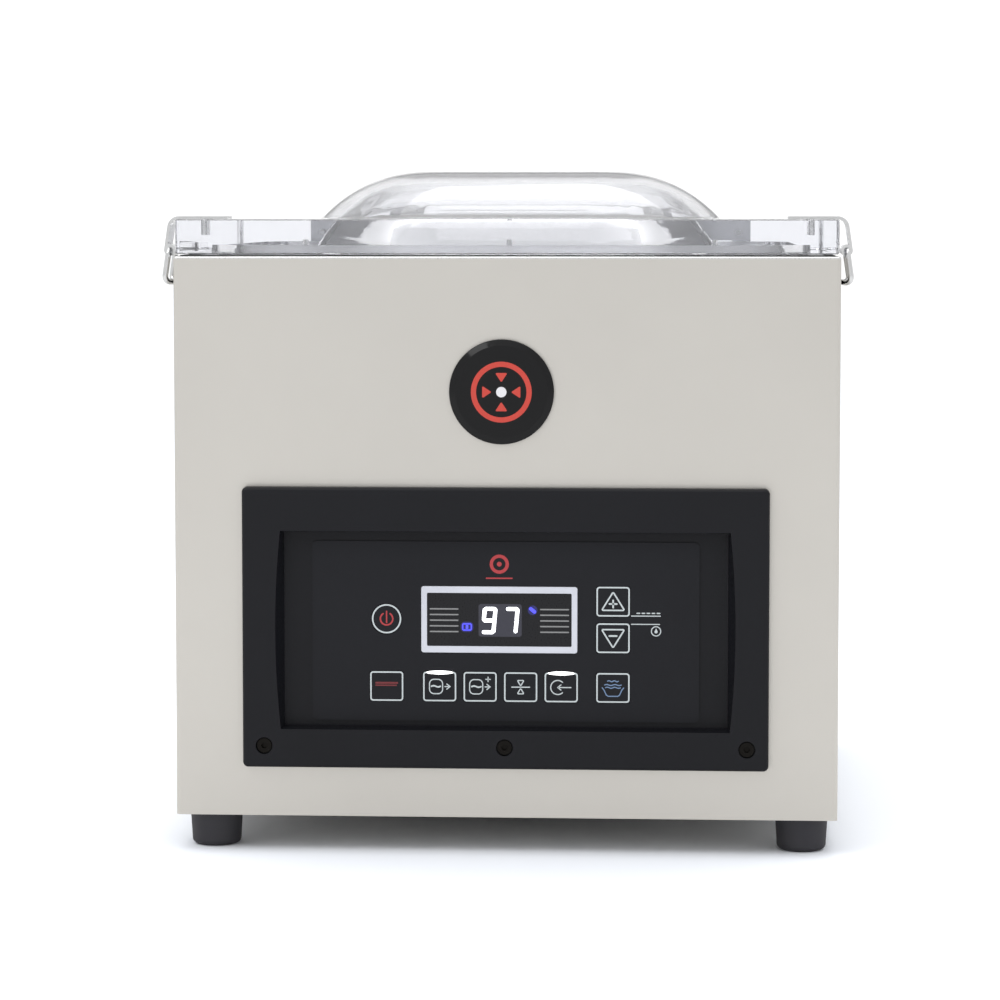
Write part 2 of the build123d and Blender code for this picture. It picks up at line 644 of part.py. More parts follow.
def counter_groove():
    """Y range of the groove that holds the silicone strip."""
    return (BAR_Y - COUNTER_STRIP_W / 2, BAR_Y + COUNTER_STRIP_W / 2)


def counter_bar():
    """Aluminium channel under the lid that holds the silicone strip."""
    half = BAR_LEN / 2
    z = (COUNTER_TOP - COUNTER_T, COUNTER_TOP)
    channel = block((-half, half), (BAR_Y - BAR_W / 2, BAR_Y + BAR_W / 2), z)
    channel -= block((-half - 1, half + 1), counter_groove(), (z[0] - 1, z[0] + COUNTER_GROOVE))
    for x in COUNTER_SCREWS:
        channel -= post(x, BAR_Y, (z[0], z[1] + 1), COUNTER_SCREW_R)
    return channel


def counter_strip():
    """Silicone strip that the sealing bar presses the bag against."""
    bar_bottom = COUNTER_TOP - COUNTER_T
    z = (bar_bottom - COUNTER_STRIP, bar_bottom + COUNTER_GROOVE)
    strip = block((-BAR_LEN / 2, BAR_LEN / 2), counter_groove(), z)
    return chamfer(strip.faces().sort_by(Axis.Z)[0].edges().filter_by(Axis.X), 1.0)


def strap_screw(x, y):
    """Countersunk screw through a strap into the lid."""
    top = LID_TOP + FIT_GAP + STRAP_T
    head = Pos(x, y, top - 0.95) * Cone(LID_SCREW_R, 3.9, 1.9)
    slot = block((x - 2.6, x + 2.6), (y - 0.4, y + 0.4), (top - 0.9, top + 1))
    return head + post(x, y, (LID_TOP - LID_SCREW_DEPTH, top - 1.9), LID_SCREW_R) - slot


def lid_screws():
    """Screws in the lid: straps on top, hinge leaves behind, counter bar below."""
    straps = [s for x, y in STRAP_SCREWS for s in both_sides(strap_screw(x, y))]
    seat = LID_REAR + FIT_GAP + HINGE_LEAF_T
    leaves = [rear_screw(x, seat, z, 3.6, 2.0, LID_SCREW_R, LEAF_LID_SCREW_L) for x, z in LEAF_LID_SCREWS]
    bar_z = (COUNTER_TOP - COUNTER_T + COUNTER_GROOVE, LID_BOTTOM + 8 - FIT_GAP)
    bar = [post(x, BAR_Y, bar_z, COUNTER_SCREW_R) for x in COUNTER_SCREWS]
    return straps + leaves + bar


# ---- Hinges ---------------------------------------------------------------
def hinge_fixed_leaf():
    """Leaf on the rear panel with the spring barrel around the pin."""
    half = HINGE_LEAF_W / 2
    y = (CASE_REAR, CASE_REAR + HINGE_LEAF_T)
    leaf = block((HINGE_X - half, HINGE_X + half), y, (316, HINGE_Z - 8))
    middle = (HINGE_X - HINGE_BARREL_HALF, HINGE_X + HINGE_BARREL_HALF)
    leaf += block(middle, (y[0], HINGE_Y), (HINGE_Z - HINGE_BARREL_R - 4, HINGE_Z - 1))
    leaf += rod_x(middle, HINGE_Y, HINGE_Z, HINGE_BARREL_R)
    leaf -= rod_x(middle, HINGE_Y, HINGE_Z, HINGE_PIN_R + HINGE_RUN)
    leaf -= rod_x((middle[0] + 1.5, middle[1] - 1.5), HINGE_Y, HINGE_Z, HINGE_BARREL_R - 1.4)
    for x, z in LEAF_SCREWS:
        leaf -= rod_y(x, (y[0] - 1, y[1] + 1), z, PANEL_SCREW_R)
    return leaf


def hinge_lid_leaf():
    """Leaf on the lid's rear edge with a knuckle at each end of the pin."""
    half = HINGE_LEAF_W / 2
    y = (LID_REAR + FIT_GAP, LID_REAR + FIT_GAP + HINGE_LEAF_T)
    leaf = block((HINGE_X - half, HINGE_X + half), y, (LID_BOTTOM + 5.5, LID_TOP - 1))
    for end in (-1, 1):
        x = sorted((HINGE_X + end * half, HINGE_X + end * (HINGE_BARREL_HALF + 0.4)))
        web = block(x, (y[0], HINGE_Y), (HINGE_Z + 2, LID_BOTTOM + 5.5))
        leaf += web - block(x, (0, CASE_REAR), (0, LID_BOTTOM))
        leaf += rod_x(x, HINGE_Y, HINGE_Z, HINGE_KNUCKLE_R)
        leaf -= rod_x(x, HINGE_Y, HINGE_Z, HINGE_PIN_R)
    for x, z in LEAF_LID_SCREWS:
        leaf -= rod_y(x, (y[0] - 1, y[1] + 1), z, LID_SCREW_R)
    return leaf


def hinge_pin():
    """Pin held in the lid leaf's knuckles."""
    half = HINGE_LEAF_W / 2
    return rod_x((HINGE_X - half, HINGE_X + half), HINGE_Y, HINGE_Z, HINGE_PIN_R)


def hinge_spring():
    """Torsion spring wound round the pin inside the barrel."""
    length = 2 * HINGE_BARREL_HALF - 6
    turns = 7
    coil = Helix(pitch=length / turns, height=length, radius=SPRING_MEAN_R)
    section = Plane(coil @ 0, z_dir=coil % 0) * Circle(SPRING_WIRE_R)
    spring = sweep(section, path=coil, is_frenet=True)
    return Pos(HINGE_X - length / 2, HINGE_Y, HINGE_Z) * Rot(0, 90, 0) * spring


# ---- Side clips -----------------------------------------------------------
def clip_strap():
    """Stainless strap over the lid's edge, ending in an eye for the wire."""
    mid_z = LID_TOP + FIT_GAP + STRAP_T / 2
    tangent_x = EYE_X + WIRE_R + WIRE_RUN + STRAP_T / 2
    corners = [(STRAP_INNER_X, mid_z), (STRAP_CORNER_X, mid_z), (tangent_x, EYE_Z)]
    path = FilletPolyline(*corners, radius=STRAP_BEND_R)
    profile = trace(path, STRAP_T)
    eye = Pos(EYE_X, EYE_Z) * Circle(WIRE_R + WIRE_RUN + STRAP_T)
    profile = profile + eye - Pos(EYE_X, EYE_Z) * Circle(WIRE_R + WIRE_RUN)
    strap = extrude(front_plane(CLIP_Y) * profile, amount=STRAP_HALF_W, both=True)
    top = LID_TOP + FIT_GAP + STRAP_T
    for x, y in STRAP_SCREWS:
        strap -= strap_screw(x, y)
        strap -= post(x, y, (top - 1, top + 1), 2.7)
    return strap


def clip_wire():
    """Wire bail: pins in the eye, two legs, and a foot that turns in towards the casing."""
    front, back = CLIP_Y - WIRE_LEG_Y, CLIP_Y + WIRE_LEG_Y
    points = [
        (EYE_X, front + WIRE_PIN, EYE_Z),
        (EYE_X, front, EYE_Z),
        (WIRE_KNEE_X, front, WIRE_FOOT_Z),
        (WIRE_FOOT_X, front + WIRE_FOOT_TURN, WIRE_FOOT_Z),
        (WIRE_FOOT_X, back - WIRE_FOOT_TURN, WIRE_FOOT_Z),
        (WIRE_KNEE_X, back, WIRE_FOOT_Z),
        (EYE_X, back, EYE_Z),
        (EYE_X, back - WIRE_PIN, EYE_Z),
    ]
    radii = [2.6, 3.6, 5.0, 5.0, 3.6, 2.6]
    path = FilletPolyline(*points, radius=radii)
    section = Plane(path @ 0, z_dir=path % 0) * Circle(WIRE_R)
    return sweep(section, path=path)


def catch_plate():
    """Slotted backing plate inside the casing's side, where the wire's foot snaps in."""
    plate = Pos(SIDE_X - SHEET - CATCH_T / 2, CLIP_Y, WIRE_FOOT_Z - 1) * Box(CATCH_T, *CATCH_PLATE)
    plate = fillet(plate.edges().filter_by(Axis.X), 3)
    return plate - Pos(SIDE_X, CLIP_Y, WIRE_FOOT_Z) * Box(CATCH_SLOT_CUT, *CATCH_SLOT)


# ---- Inside the chamber ---------------------------------------------------
def lift_cylinders():
    """Two short cylinders on the chamber floor that raise the sealing bar."""
    cylinders = []
    for x in (-LIFT_X, LIFT_X):
        body = post(x, BAR_Y, (CHAMBER_FLOOR, LIFT_TOP), LIFT_R)
        body = chamfer(body.faces().sort_by(Axis.Z)[-1].edges(), 1.5)
        body += post(x, BAR_Y, (LIFT_NIPPLE_END, CHAMBER_FLOOR), LIFT_NIPPLE_R)
        body -= post(x, BAR_Y, (CHAMBER_FLOOR + 4, LIFT_TOP - 4), LIFT_BORE_R)
        body -= post(x, BAR_Y, (LIFT_TOP - 5, LIFT_TOP + 1), LIFT_ROD_R + LIFT_ROD_RUN)
        body -= post(x, BAR_Y, (LIFT_NIPPLE_END - 1, CHAMBER_FLOOR + 5), 1.5)
        cylinders.append(body)
    return cylinders


def lift_pistons():
    """Pistons and rods of the lift cylinders."""
    pistons = []
    for x in (-LIFT_X, LIFT_X):
        disc = post(x, BAR_Y, (CHAMBER_FLOOR + 8, CHAMBER_FLOOR + 14), LIFT_BORE_R - 0.3)
        pistons.append(disc + post(x, BAR_Y, (CHAMBER_FLOOR + 14, BAR_Z[0] + LIFT_SOCKET), LIFT_ROD_R))
    return pistons


def seal_bar():
    """Aluminium sealing bar that lifts off its two rods."""
    half = BAR_LEN / 2
    bar = block((-half, half), (BAR_Y - BAR_W / 2, BAR_Y + BAR_W / 2), BAR_Z)
    bar = fillet(bar.edges().filter_by(Axis.Z), 2)
    for x in (-LIFT_X, LIFT_X):
        bar -= post(x, BAR_Y, (BAR_Z[0] - 1, BAR_Z[0] + LIFT_SOCKET), LIFT_ROD_R)
    return bar


def seal_insulator():
    """Heat-resistant strip on top of the bar."""
    half = BAR_LEN / 2 - 1
    return block((-half, half), (BAR_Y - 7, BAR_Y + 7), (BAR_Z[1], BAR_Z[1] + INSULATOR_T))


def seal_wires():
    """Two parallel heating bands that seal and trim the bag."""
    half = BAR_LEN / 2 - 4
    z = BAR_Z[1] + INSULATOR_T
    bands = []
    for y in (BAR_Y - 3, BAR_Y + 3):
        bands.append(block((-half, half), (y - 1.5, y + 1.5), (z, z + WIRE_BAND_T)))
    return bands


def seal_tape():
    """Non-stick tape folded over the top of the bar."""
    half = BAR_LEN / 2 - 6
    top = BAR_Z[1] + INSULATOR_T + WIRE_BAND_T
    outer = BAR_W / 2 + TAPE_T
    tape = block((-half, half), (BAR_Y - outer, BAR_Y + outer), (BAR_Z[1] - 14, top + TAPE_T))
    tape -= block((-half - 1, half + 1), (BAR_Y - BAR_W / 2, BAR_Y + BAR_W / 2), (BAR_Z[1] - 20, top))
    return tape


def filler_plates():
    """Two white plates that raise the bag and shorten the pumping time."""
    plates = []
    for level in range(2):
        z = CHAMBER_FLOOR + level * FILLER_T
        plate = slab(FILLER_W, FILLER_L, FILLER_R, (0, FILLER_Y), (z, z + FILLER_T))
        plate = chamfer(plate.faces().sort_by(Axis.Z)[-1].edges(), 1.2)
        plates.append(plate)
    return plates


def suction_port():
    """Flanged fitting through the chamber's rear wall, with its elbow behind."""
    x, z, y = SUCTION_X, SUCTION_Z, CHAMBER_REAR
    port = rod_y(x, (y - 3, y), z, 15)
    port += rod_y(x, (y, y + 12), z, SUCTION_R)
    port += rod_y(x, (y + SHEET, y + 5), z, 13)
    port += Pos(x, y + SUCTION_ELBOW, z) * Sphere(SUCTION_R + 1)
    port += post(x, y + SUCTION_ELBOW, (z - SUCTION_DROP, z), SUCTION_R - 2)
    for ring in range(6):
        turn = math.radians(60 * ring)
        port -= rod_y(x + 5 * math.cos(turn), (y - 4, y + 4), z + 5 * math.sin(turn), 1.6)
    return port


# ---- Works under the chamber ----------------------------------------------
def pump_body():
    """Cast housing of the rotary-vane pump."""
    body = block(PUMP_X, (PUMP_Y - PUMP_HALF_L, PUMP_Y + PUMP_HALF_L), (PUMP_FOOT, PUMP_HEAD))
    body = fillet(body.edges().filter_by(Axis.X), 12)
    body += post(INLET_X, PUMP_Y, (PUMP_HEAD - 6, PUMP_TOP), INLET_R)
    body -= rod_x((PUMP_X[0] + 8, PUMP_X[1] - 8), PUMP_Y, PUMP_Z + ROTOR_OFFSET, STATOR_R)
    body -= rod_x((PUMP_X[0] + 4, PUMP_X[1] + 1), PUMP_Y, PUMP_Z, SHAFT_R + SHAFT_RUN)
    body -= post(INLET_X, PUMP_Y, (PUMP_Z + 20, PUMP_TOP + 1), 6)
    return body


def oil_tank():
    """Oil separator tank bolted to the pump's end."""
    half = TANK_HALF_L
    tank = block(TANK_X, (PUMP_Y - half, PUMP_Y + half), (PUMP_FOOT, TANK_TOP))
    tank = fillet(tank.edges().filter_by(Axis.X), 14)
    tank += post(sum(TANK_X) / 2, PUMP_Y + 20, (TANK_TOP - 2, TANK_TOP + 10), 11)
    inside_x = (TANK_X[0] + TANK_WALL, TANK_X[1] - TANK_WALL)
    tank -= block(inside_x, (PUMP_Y - half + 8, PUMP_Y + half - 8), (PUMP_FOOT + 6, TANK_TOP - 10))
    return tank


def pump_motor():
    """Finned motor housing with a through bore for the shaft."""
    body = rod_x(MOTOR_X, PUMP_Y, PUMP_Z, MOTOR_CORE_R)
    for fin in range(MOTOR_FINS):
        x = MOTOR_X[0] + 12 + fin * MOTOR_FIN_PITCH
        body += rod_x((x, x + 3), PUMP_Y, PUMP_Z, MOTOR_R)
    shoe_w, shoe_h = MOTOR_SHOE
    shoe_y = (PUMP_Y - shoe_w / 2, PUMP_Y + shoe_w / 2)
    body += block((MOTOR_X[0] + 20, MOTOR_X[1] - 20), shoe_y, (PUMP_FOOT, PUMP_FOOT + shoe_h))
    box_w, box_h = TERMINAL_BOX
    box_y = (PUMP_Y - box_w / 2, PUMP_Y + box_w / 2)
    box_z = (PUMP_Z + MOTOR_CORE_R - 4, PUMP_Z + MOTOR_CORE_R - 4 + box_h)
    body += block((MOTOR_X[0] + 30, MOTOR_X[1] - 35), box_y, box_z)
    return body - rod_x((MOTOR_X[0] - 1, MOTOR_X[1] + 1), PUMP_Y, PUMP_Z, SHAFT_R + SHAFT_RUN)


def pump_rotor():
    """Slotted rotor and its shaft."""
    rotor = rod_x((PUMP_X[0] + 8.3, PUMP_X[1] - 8.3), PUMP_Y, PUMP_Z, ROTOR_R)
    for blade in range(3):
        slot = Pos(0, 0, ROTOR_R - 9) * Box(200, 4, 20)
        rotor -= Pos(PUMP_X[0], PUMP_Y, PUMP_Z) * Rot(120 * blade, 0, 0) * slot
    return rotor + rod_x((PUMP_X[0] + 5, COWL_X - 6), PUMP_Y, PUMP_Z, SHAFT_R)


def cooling_fan():
    """Fan wheel pressed on the motor's shaft."""
    x = (MOTOR_X[1] + 4, COWL_X - 8)
    wheel = rod_x(x, PUMP_Y, PUMP_Z, FAN_HUB_R)
    for blade in range(FAN_BLADES):
        arm = Pos((x[0] + x[1]) / 2, 0, FAN_HUB_R + 15) * Rot(0, 0, 35) * Box(2.5, 20, 34)
        wheel += Pos(0, PUMP_Y, PUMP_Z) * Rot(360 / FAN_BLADES * blade, 0, 0) * arm
    return wheel - rod_x((x[0] - 1, x[1] + 1), PUMP_Y, PUMP_Z, SHAFT_R)


def fan_cowl():
    """Slotted cover over the fan."""
    cowl = rod_x((MOTOR_X[1], COWL_X), PUMP_Y, PUMP_Z, MOTOR_R)
    cowl -= rod_x((MOTOR_X[1] - 1, COWL_X - COWL_WALL), PUMP_Y, PUMP_Z, MOTOR_R - COWL_WALL)
    grille_r = MOTOR_R - 12
    for row in range(-4, 5):
        width = 2 * math.sqrt(grille_r**2 - (row * 10) ** 2)
        cowl -= Pos(COWL_X, PUMP_Y, PUMP_Z + row * 10) * Box(10, width, 4)
    return cowl


def pump_mounts():
    """Rubber mounts between the pump set and the base."""
    spots = [(x, PUMP_Y + dy) for x in MOUNT_X for dy in (-MOUNT_HALF_Y, MOUNT_HALF_Y)]
    return [post(x, y, (BASE_TOP, PUMP_FOOT), MOUNT_R) for x, y in spots]


def valve_block():
    """Aluminium manifold on the casing's right wall."""
    manifold = block(VALVE_X, VALVE_Y, VALVE_Z)
    for y in COIL_Y:
        manifold -= rod_x((VALVE_X[0] - 10, VALVE_X[0] + 6), y, sum(VALVE_Z) / 2, COIL_TUBE_R)
    for x, z in VALVE_PORTS:
        manifold -= rod_y(x, (VALVE_Y[0] - 1, VALVE_Y[0] + 20), z, AIR_HOSE_R[1])
    return fillet(manifold.edges().filter_by(Axis.Y), 1.5)


def valve_coils():
    """Three solenoid coils plugged into the manifold."""
    coils = []
    z = sum(VALVE_Z) / 2
    for y in COIL_Y:
        coil = block((COIL_X, VALVE_X[0]), (y - COIL_HALF, y + COIL_HALF), (z - COIL_HALF, z + COIL_HALF))
        coil = fillet(coil.edges().filter_by(Axis.X), 4)
        coils.append(coil + rod_x((VALVE_X[0], VALVE_X[0] + 6), y, z, COIL_TUBE_R))
    return coils


def transformer():
    """Toroidal transformer that feeds the heating bands, with its clamp bolt."""
    top = BASE_TOP + RING_CORE_H
    ring = fillet(post(*RING_CORE, (BASE_TOP, top), RING_CORE_R).edges(), 12)
    ring -= post(*RING_CORE, (BASE_TOP - 1, top + 1), RING_CORE_BORE_R)
    washer = post(*RING_CORE, (top, top + 2), RING_CORE_BORE_R + 10)
    return [ring, washer + post(*RING_CORE, (BASE_TOP, top + 10), 4)]


def power_board():
    """Power circuit board on four posts."""
    x, y, z = POWER_BOARD_X, POWER_BOARD_Y, BASE_TOP + POWER_BOARD_LIFT
    top = z + POWER_BOARD_T
    board = block(x, y, (z, top))
    board += block((x[0] + 15, x[0] + 45), (y[0] + 20, y[0] + 60), (top, top + 26))
    board += post(x[1] - 40, y[1] - 40, (top, top + 30), 14)
    for px in (x[0] + 6, x[1] - 6):
        for py in (y[0] + 6, y[1] - 6):
            board += post(px, py, (BASE_TOP, z), 3)
    return board


def hoses():
    """Suction hose from the chamber to the pump, and two air hoses for the lift."""
    rear = CHAMBER_REAR + SUCTION_ELBOW
    route = [
        (SUCTION_X, rear, SUCTION_Z - SUCTION_DROP),
        (SUCTION_X, rear, HOSE_Z),
        (INLET_X, PUMP_Y, HOSE_Z),
        (INLET_X, PUMP_Y, PUMP_TOP),
    ]
    made = [tube(route, 18, *HOSE_R)]
    for side, (x, z) in zip((1, -1), VALVE_PORTS):
        start = side * LIFT_X
        route = [
            (start, BAR_Y, LIFT_NIPPLE_END),
            (start, BAR_Y, z),
            (x, BAR_Y, z),
            (x, VALVE_Y[0], z),
        ]
        made.append(tube(route, 8, *AIR_HOSE_R))
    return made


# ---- Rear fittings --------------------------------------------------------
def power_inlet():
    """Appliance inlet for a detachable mains lead."""
    centre = (SOCKET_X, SOCKET_Z)
    mouth = CASE_REAR + 2.5
    inlet = upright(*SOCKET_FLANGE, 3, centre, (CASE_REAR, mouth))
    inlet += upright(*SOCKET_BODY, 2, centre, (SOCKET_BODY_Y, CASE_REAR))
    inlet -= upright(*SOCKET_CAVITY, 2.5, centre, (mouth - SOCKET_DEPTH, mouth + 1))
    return inlet


def switch_frame():
    """Housing of the mains rocker, hollowed round the rocker's swing."""
    centre = (ROCKER_X, ROCKER_Z)
    frame = upright(*SWITCH_FLANGE, 2.5, centre, (CASE_REAR, CASE_REAR + 2))
    frame += upright(*SWITCH_BODY, 1.5, centre, (SWITCH_BODY_Y, CASE_REAR))
    half = ROCKER_HALF_W + 0.3
    sweep_r = ROCKER_R + 0.4
    x = (ROCKER_X - half, ROCKER_X + half)
    hollow = rod_x(x, ROCKER_Y, ROCKER_Z, sweep_r)
    hollow += block(x, (ROCKER_Y, CASE_REAR + 5), (ROCKER_Z - sweep_r, ROCKER_Z + sweep_r))
    pivot_x = (x[0] - 1, x[1] + 1)
    hollow += rod_x(pivot_x, ROCKER_Y, ROCKER_Z, ROCKER_PIVOT_R + WIRE_RUN)
    return frame - hollow


def main_rocker():
    """Rocker with two flat faces; at rest its lower half is pressed in."""
    x = (ROCKER_X - ROCKER_HALF_W, ROCKER_X + ROCKER_HALF_W)
    body = rod_x(x, ROCKER_Y, ROCKER_Z, ROCKER_R)
    for side, lean in ((1, 0.0), (-1, ROCKER_LEAN)):
        beyond = Pos(0, 25 + ROCKER_FACE, side * 10) * Box(30, 50, 20)
        body -= Pos(ROCKER_X, ROCKER_Y, ROCKER_Z) * Rot(side * lean, 0, 0) * beyond
    return body + rod_x((x[0] - 1.2, x[1] + 1.2), ROCKER_Y, ROCKER_Z, ROCKER_PIVOT_R)


def exhaust_muffler():
    """Ribbed silencer of the pump's exhaust, screwed into the rear panel."""
    muffler = rod_y(MUFFLER_X, (CASE_REAR, REAR_END), MUFFLER_Z, MUFFLER_R)
    muffler = fillet(muffler.faces().sort_by(Axis.Y)[-1].edges(), 3)
    for ring in range(3):
        y = CASE_REAR + 5 + ring * 6
        groove = rod_y(MUFFLER_X, (y, y + 2.5), MUFFLER_Z, MUFFLER_R + 1)
        muffler -= groove - rod_y(MUFFLER_X, (y, y + 2.5), MUFFLER_Z, MUFFLER_R - 2)
    neck_y = CASE_REAR - 16
    muffler += rod_y(MUFFLER_X, (neck_y, CASE_REAR), MUFFLER_Z, MUFFLER_NECK_R)
    return muffler - rod_y(MUFFLER_X, (neck_y - 1, REAR_END - 4), MUFFLER_Z, MUFFLER_NECK_R - 4)


# ---- Every sub-part, by the name of its file ------------------------------
PARTS = {
    "casing": casing,
    "deck_chamber": deck_chamber,
    "rear_panel": rear_panel,
    "base_plate": base_plate,
    "case_screws": case_screws,
    "rubber_feet": rubber_feet,
    "control_bezel": control_bezel,
    "bezel_screws": bezel_screws,
    "overlay_panel": overlay_panel,
    "display_frame": display_frame,
    "display_window": display_window,
    "control_board": control_board,
    "tact_switches": tact_switches,
    "badge": badge,
    "lid_shell": lid_shell,
    "lid_gasket": lid_gasket,
    "counter_bar": counter_bar,
    "counter_strip": counter_strip,
    "lid_screws": lid_screws,
    "hinge_fixed_leaves": lambda: both_sides(hinge_fixed_leaf()),
    "hinge_lid_leaves": lambda: both_sides(hinge_lid_leaf()),
    "hinge_pins": lambda: both_sides(hinge_pin()),
    "hinge_springs": lambda: both_sides(hinge_spring()),
    "clip_straps": lambda: both_sides(clip_strap()),
    "clip_wire_right": clip_wire,
    "clip_wire_left": lambda: mirror(clip_wire(), about=Plane.YZ),
    "catch_plates": lambda: both_sides(catch_plate()),
    "lift_cylinders": lift_cylinders,
    "lift_pistons": lift_pistons,
    "seal_bar": seal_bar,
    "seal_insulator": seal_insulator,
    "seal_wires": seal_wires,
    "seal_tape": seal_tape,
    "filler_plates": filler_plates,
    "suction_port": suction_port,
    "pump_body": pump_body,
    "oil_tank": oil_tank,
    "pump_motor": pump_motor,
    "pump_rotor": pump_rotor,
    "cooling_fan": cooling_fan,
    "fan_cowl": fan_cowl,
    "pump_mounts": pump_mounts,
    "valve_block": valve_block,
    "valve_coils": valve_coils,
    "transformer": transformer,
    "power_board": power_board,
    "hoses": hoses,
    "power_inlet": power_inlet,
    "switch_frame": switch_frame,
    "main_rocker": main_rocker,
    "exhaust_muffler": exhaust_muffler,
}

os.makedirs("parts", exist_ok=True)
for name, make in PARTS.items():
    made = make()
    pieces = made if isinstance(made, list) else [made]
    export_step(Compound(children=[s for p in pieces for s in p.solids()]), f"parts/{name}.step")
for name in KEYS:
    export_step(Compound(children=list(key(name).solids())), f"parts/{name}.step")
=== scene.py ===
"""Looks of the chamber vacuum packing machine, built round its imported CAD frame.

Units are metres in the machine's own frame: +X to the operator's right, +Y to the back, +Z up.
Sections: materials, finishes of the CAD nodes, printed marks, display, small fittings,
floor, lights and camera.
"""
import math

import bmesh
import bpy
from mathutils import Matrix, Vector


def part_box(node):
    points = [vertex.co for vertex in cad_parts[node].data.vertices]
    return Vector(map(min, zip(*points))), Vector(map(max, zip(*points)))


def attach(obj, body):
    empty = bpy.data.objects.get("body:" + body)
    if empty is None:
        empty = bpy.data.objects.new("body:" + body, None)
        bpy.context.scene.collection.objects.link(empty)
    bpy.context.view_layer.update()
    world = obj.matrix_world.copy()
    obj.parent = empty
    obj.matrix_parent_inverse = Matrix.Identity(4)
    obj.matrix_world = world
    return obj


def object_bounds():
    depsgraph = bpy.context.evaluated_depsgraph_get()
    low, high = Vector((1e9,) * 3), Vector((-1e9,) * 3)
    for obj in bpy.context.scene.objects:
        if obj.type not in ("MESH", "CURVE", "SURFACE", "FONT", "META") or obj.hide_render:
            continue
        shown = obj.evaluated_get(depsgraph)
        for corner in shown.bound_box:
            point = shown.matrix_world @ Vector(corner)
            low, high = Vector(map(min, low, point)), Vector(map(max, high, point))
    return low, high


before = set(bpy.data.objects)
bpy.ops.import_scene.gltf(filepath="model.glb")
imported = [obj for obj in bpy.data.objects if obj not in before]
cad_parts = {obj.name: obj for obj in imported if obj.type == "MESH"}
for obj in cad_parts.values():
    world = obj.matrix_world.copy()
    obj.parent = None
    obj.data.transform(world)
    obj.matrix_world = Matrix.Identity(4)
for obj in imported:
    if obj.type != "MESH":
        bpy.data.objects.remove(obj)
cad_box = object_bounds()

MM = 0.001
scene = bpy.context.scene


# ---- Mesh helpers ---------------------------------------------------------
def new_piece(name, verts, faces, material, body):
    """A mesh piece in the machine's frame that rides on a CAD body."""
    mesh = bpy.data.meshes.new(name)
    mesh.from_pydata(verts, [], faces)
    mesh.validate()
    mesh.update()
    piece = bpy.data.objects.new(name, mesh)
    scene.collection.objects.link(piece)
    piece.data.materials.append(material)
    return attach(piece, body)


def arc(cx, cz, radius, start, end, steps=16):
    """Points on an arc, with its angles in degrees."""
    angles = [math.radians(start + (end - start) * i / steps) for i in range(steps + 1)]
    return [(cx + radius * math.cos(a), cz + radius * math.sin(a)) for a in angles]


def round_corners(corners, radius, steps=5):
    """A closed outline with each corner rounded by a tangent arc."""
    outline = []
    for i, corner in enumerate(corners):
        here = Vector(corner)
        before = (Vector(corners[i - 1]) - here).normalized()
        after = (Vector(corners[(i + 1) % len(corners)]) - here).normalized()
        half = before.angle(after) / 2
        centre = here + (before + after).normalized() * radius / math.sin(half)
        first = here + before * radius / math.tan(half) - centre
        last = here + after * radius / math.tan(half) - centre
        turn = first.angle_signed(last)
        for s in range(steps + 1):
            angle = -turn * s / steps
            cos, sin = math.cos(angle), math.sin(angle)
            x = centre.x + first.x * cos - first.y * sin
            y = centre.y + first.x * sin + first.y * cos
            outline.append((x, y))
    return outline


def box_outline(cx, cz, width, height, radius):
    """A rounded rectangle's outline."""
    x, z = width / 2, height / 2
    corners = [(cx - x, cz - z), (cx + x, cz - z), (cx + x, cz + z), (cx - x, cz + z)]
    return round_corners(corners, radius)


def offsets(points, distance, closed):
    """The points moved sideways by a distance, mitred at the corners."""
    moved = []
    count = len(points)
    for i, point in enumerate(points):
        here = Vector(point)
        before = Vector(points[i - 1]) if closed or i > 0 else None
        after = Vector(points[(i + 1) % count]) if closed or i < count - 1 else None
        ways = []
        if before is not None:
            ways.append((here - before).normalized())
        if after is not None:
            ways.append((after - here).normalized())
        along = sum(ways, Vector((0, 0))).normalized()
        side = Vector((-along.y, along.x))
        stretch = max(0.5, side.dot(Vector((-ways[0].y, ways[0].x))))
        moved.append(here + side * distance / stretch)
    return [(p.x, p.y) for p in moved]


class Print:
    """Flat raised marks on one upright face, gathered into one mesh."""

    def __init__(self, face_y, thickness=0.06 * MM):
        self.y = face_y
        self.front = face_y - thickness
        self.verts = []
        self.faces = []

    def _add(self, points, y):
        start = len(self.verts)
        self.verts += [(x, y, z) for x, z in points]
        return list(range(start, start + len(points)))

    def fill(self, outline):
        """A filled shape: front, back and edge."""
        front = self._add(outline, self.front)
        back = self._add(outline, self.y)
        self.faces.append(front)
        self.faces.append(back[::-1])
        count = len(outline)
        for i in range(count):
            j = (i + 1) % count
            self.faces.append((front[j], front[i], back[i], back[j]))

    def ring(self, outer, inner):
        """The band between two outlines with as many points each."""
        rings = [self._add(outer, self.front), self._add(inner, self.front),
                 self._add(inner, self.y), self._add(outer, self.y)]
        count = len(outer)
        for level in range(4):
            a, b = rings[level], rings[(level + 1) % 4]
            for i in range(count):
                j = (i + 1) % count
                self.faces.append((a[i], a[j], b[j], b[i]))

    def loop(self, outline, width):
        """A closed line of even width."""
        self.ring(offsets(outline, -width / 2, True), offsets(outline, width / 2, True))

    def line(self, points, width):
        """An open line with round ends."""
        left = offsets(points, width / 2, False)
        right = offsets(points, -width / 2, False)
        end = Vector(points[-1]) - Vector(points[-2])
        start = Vector(points[0]) - Vector(points[1])
        outline = list(right)
        outline += cap(points[-1], end, width / 2)
        outline += left[::-1]
        outline += cap(points[0], start, width / 2)
        self.fill(outline)

    def dot(self, cx, cz, radius, steps=24):
        self.fill(arc(cx, cz, radius, 0, 360 - 360 / steps, steps - 1))

    def piece(self, name, material, body, slot="overlay_film"):
        made = new_piece(name, self.verts, self.faces, material, body)
        return outward(made)


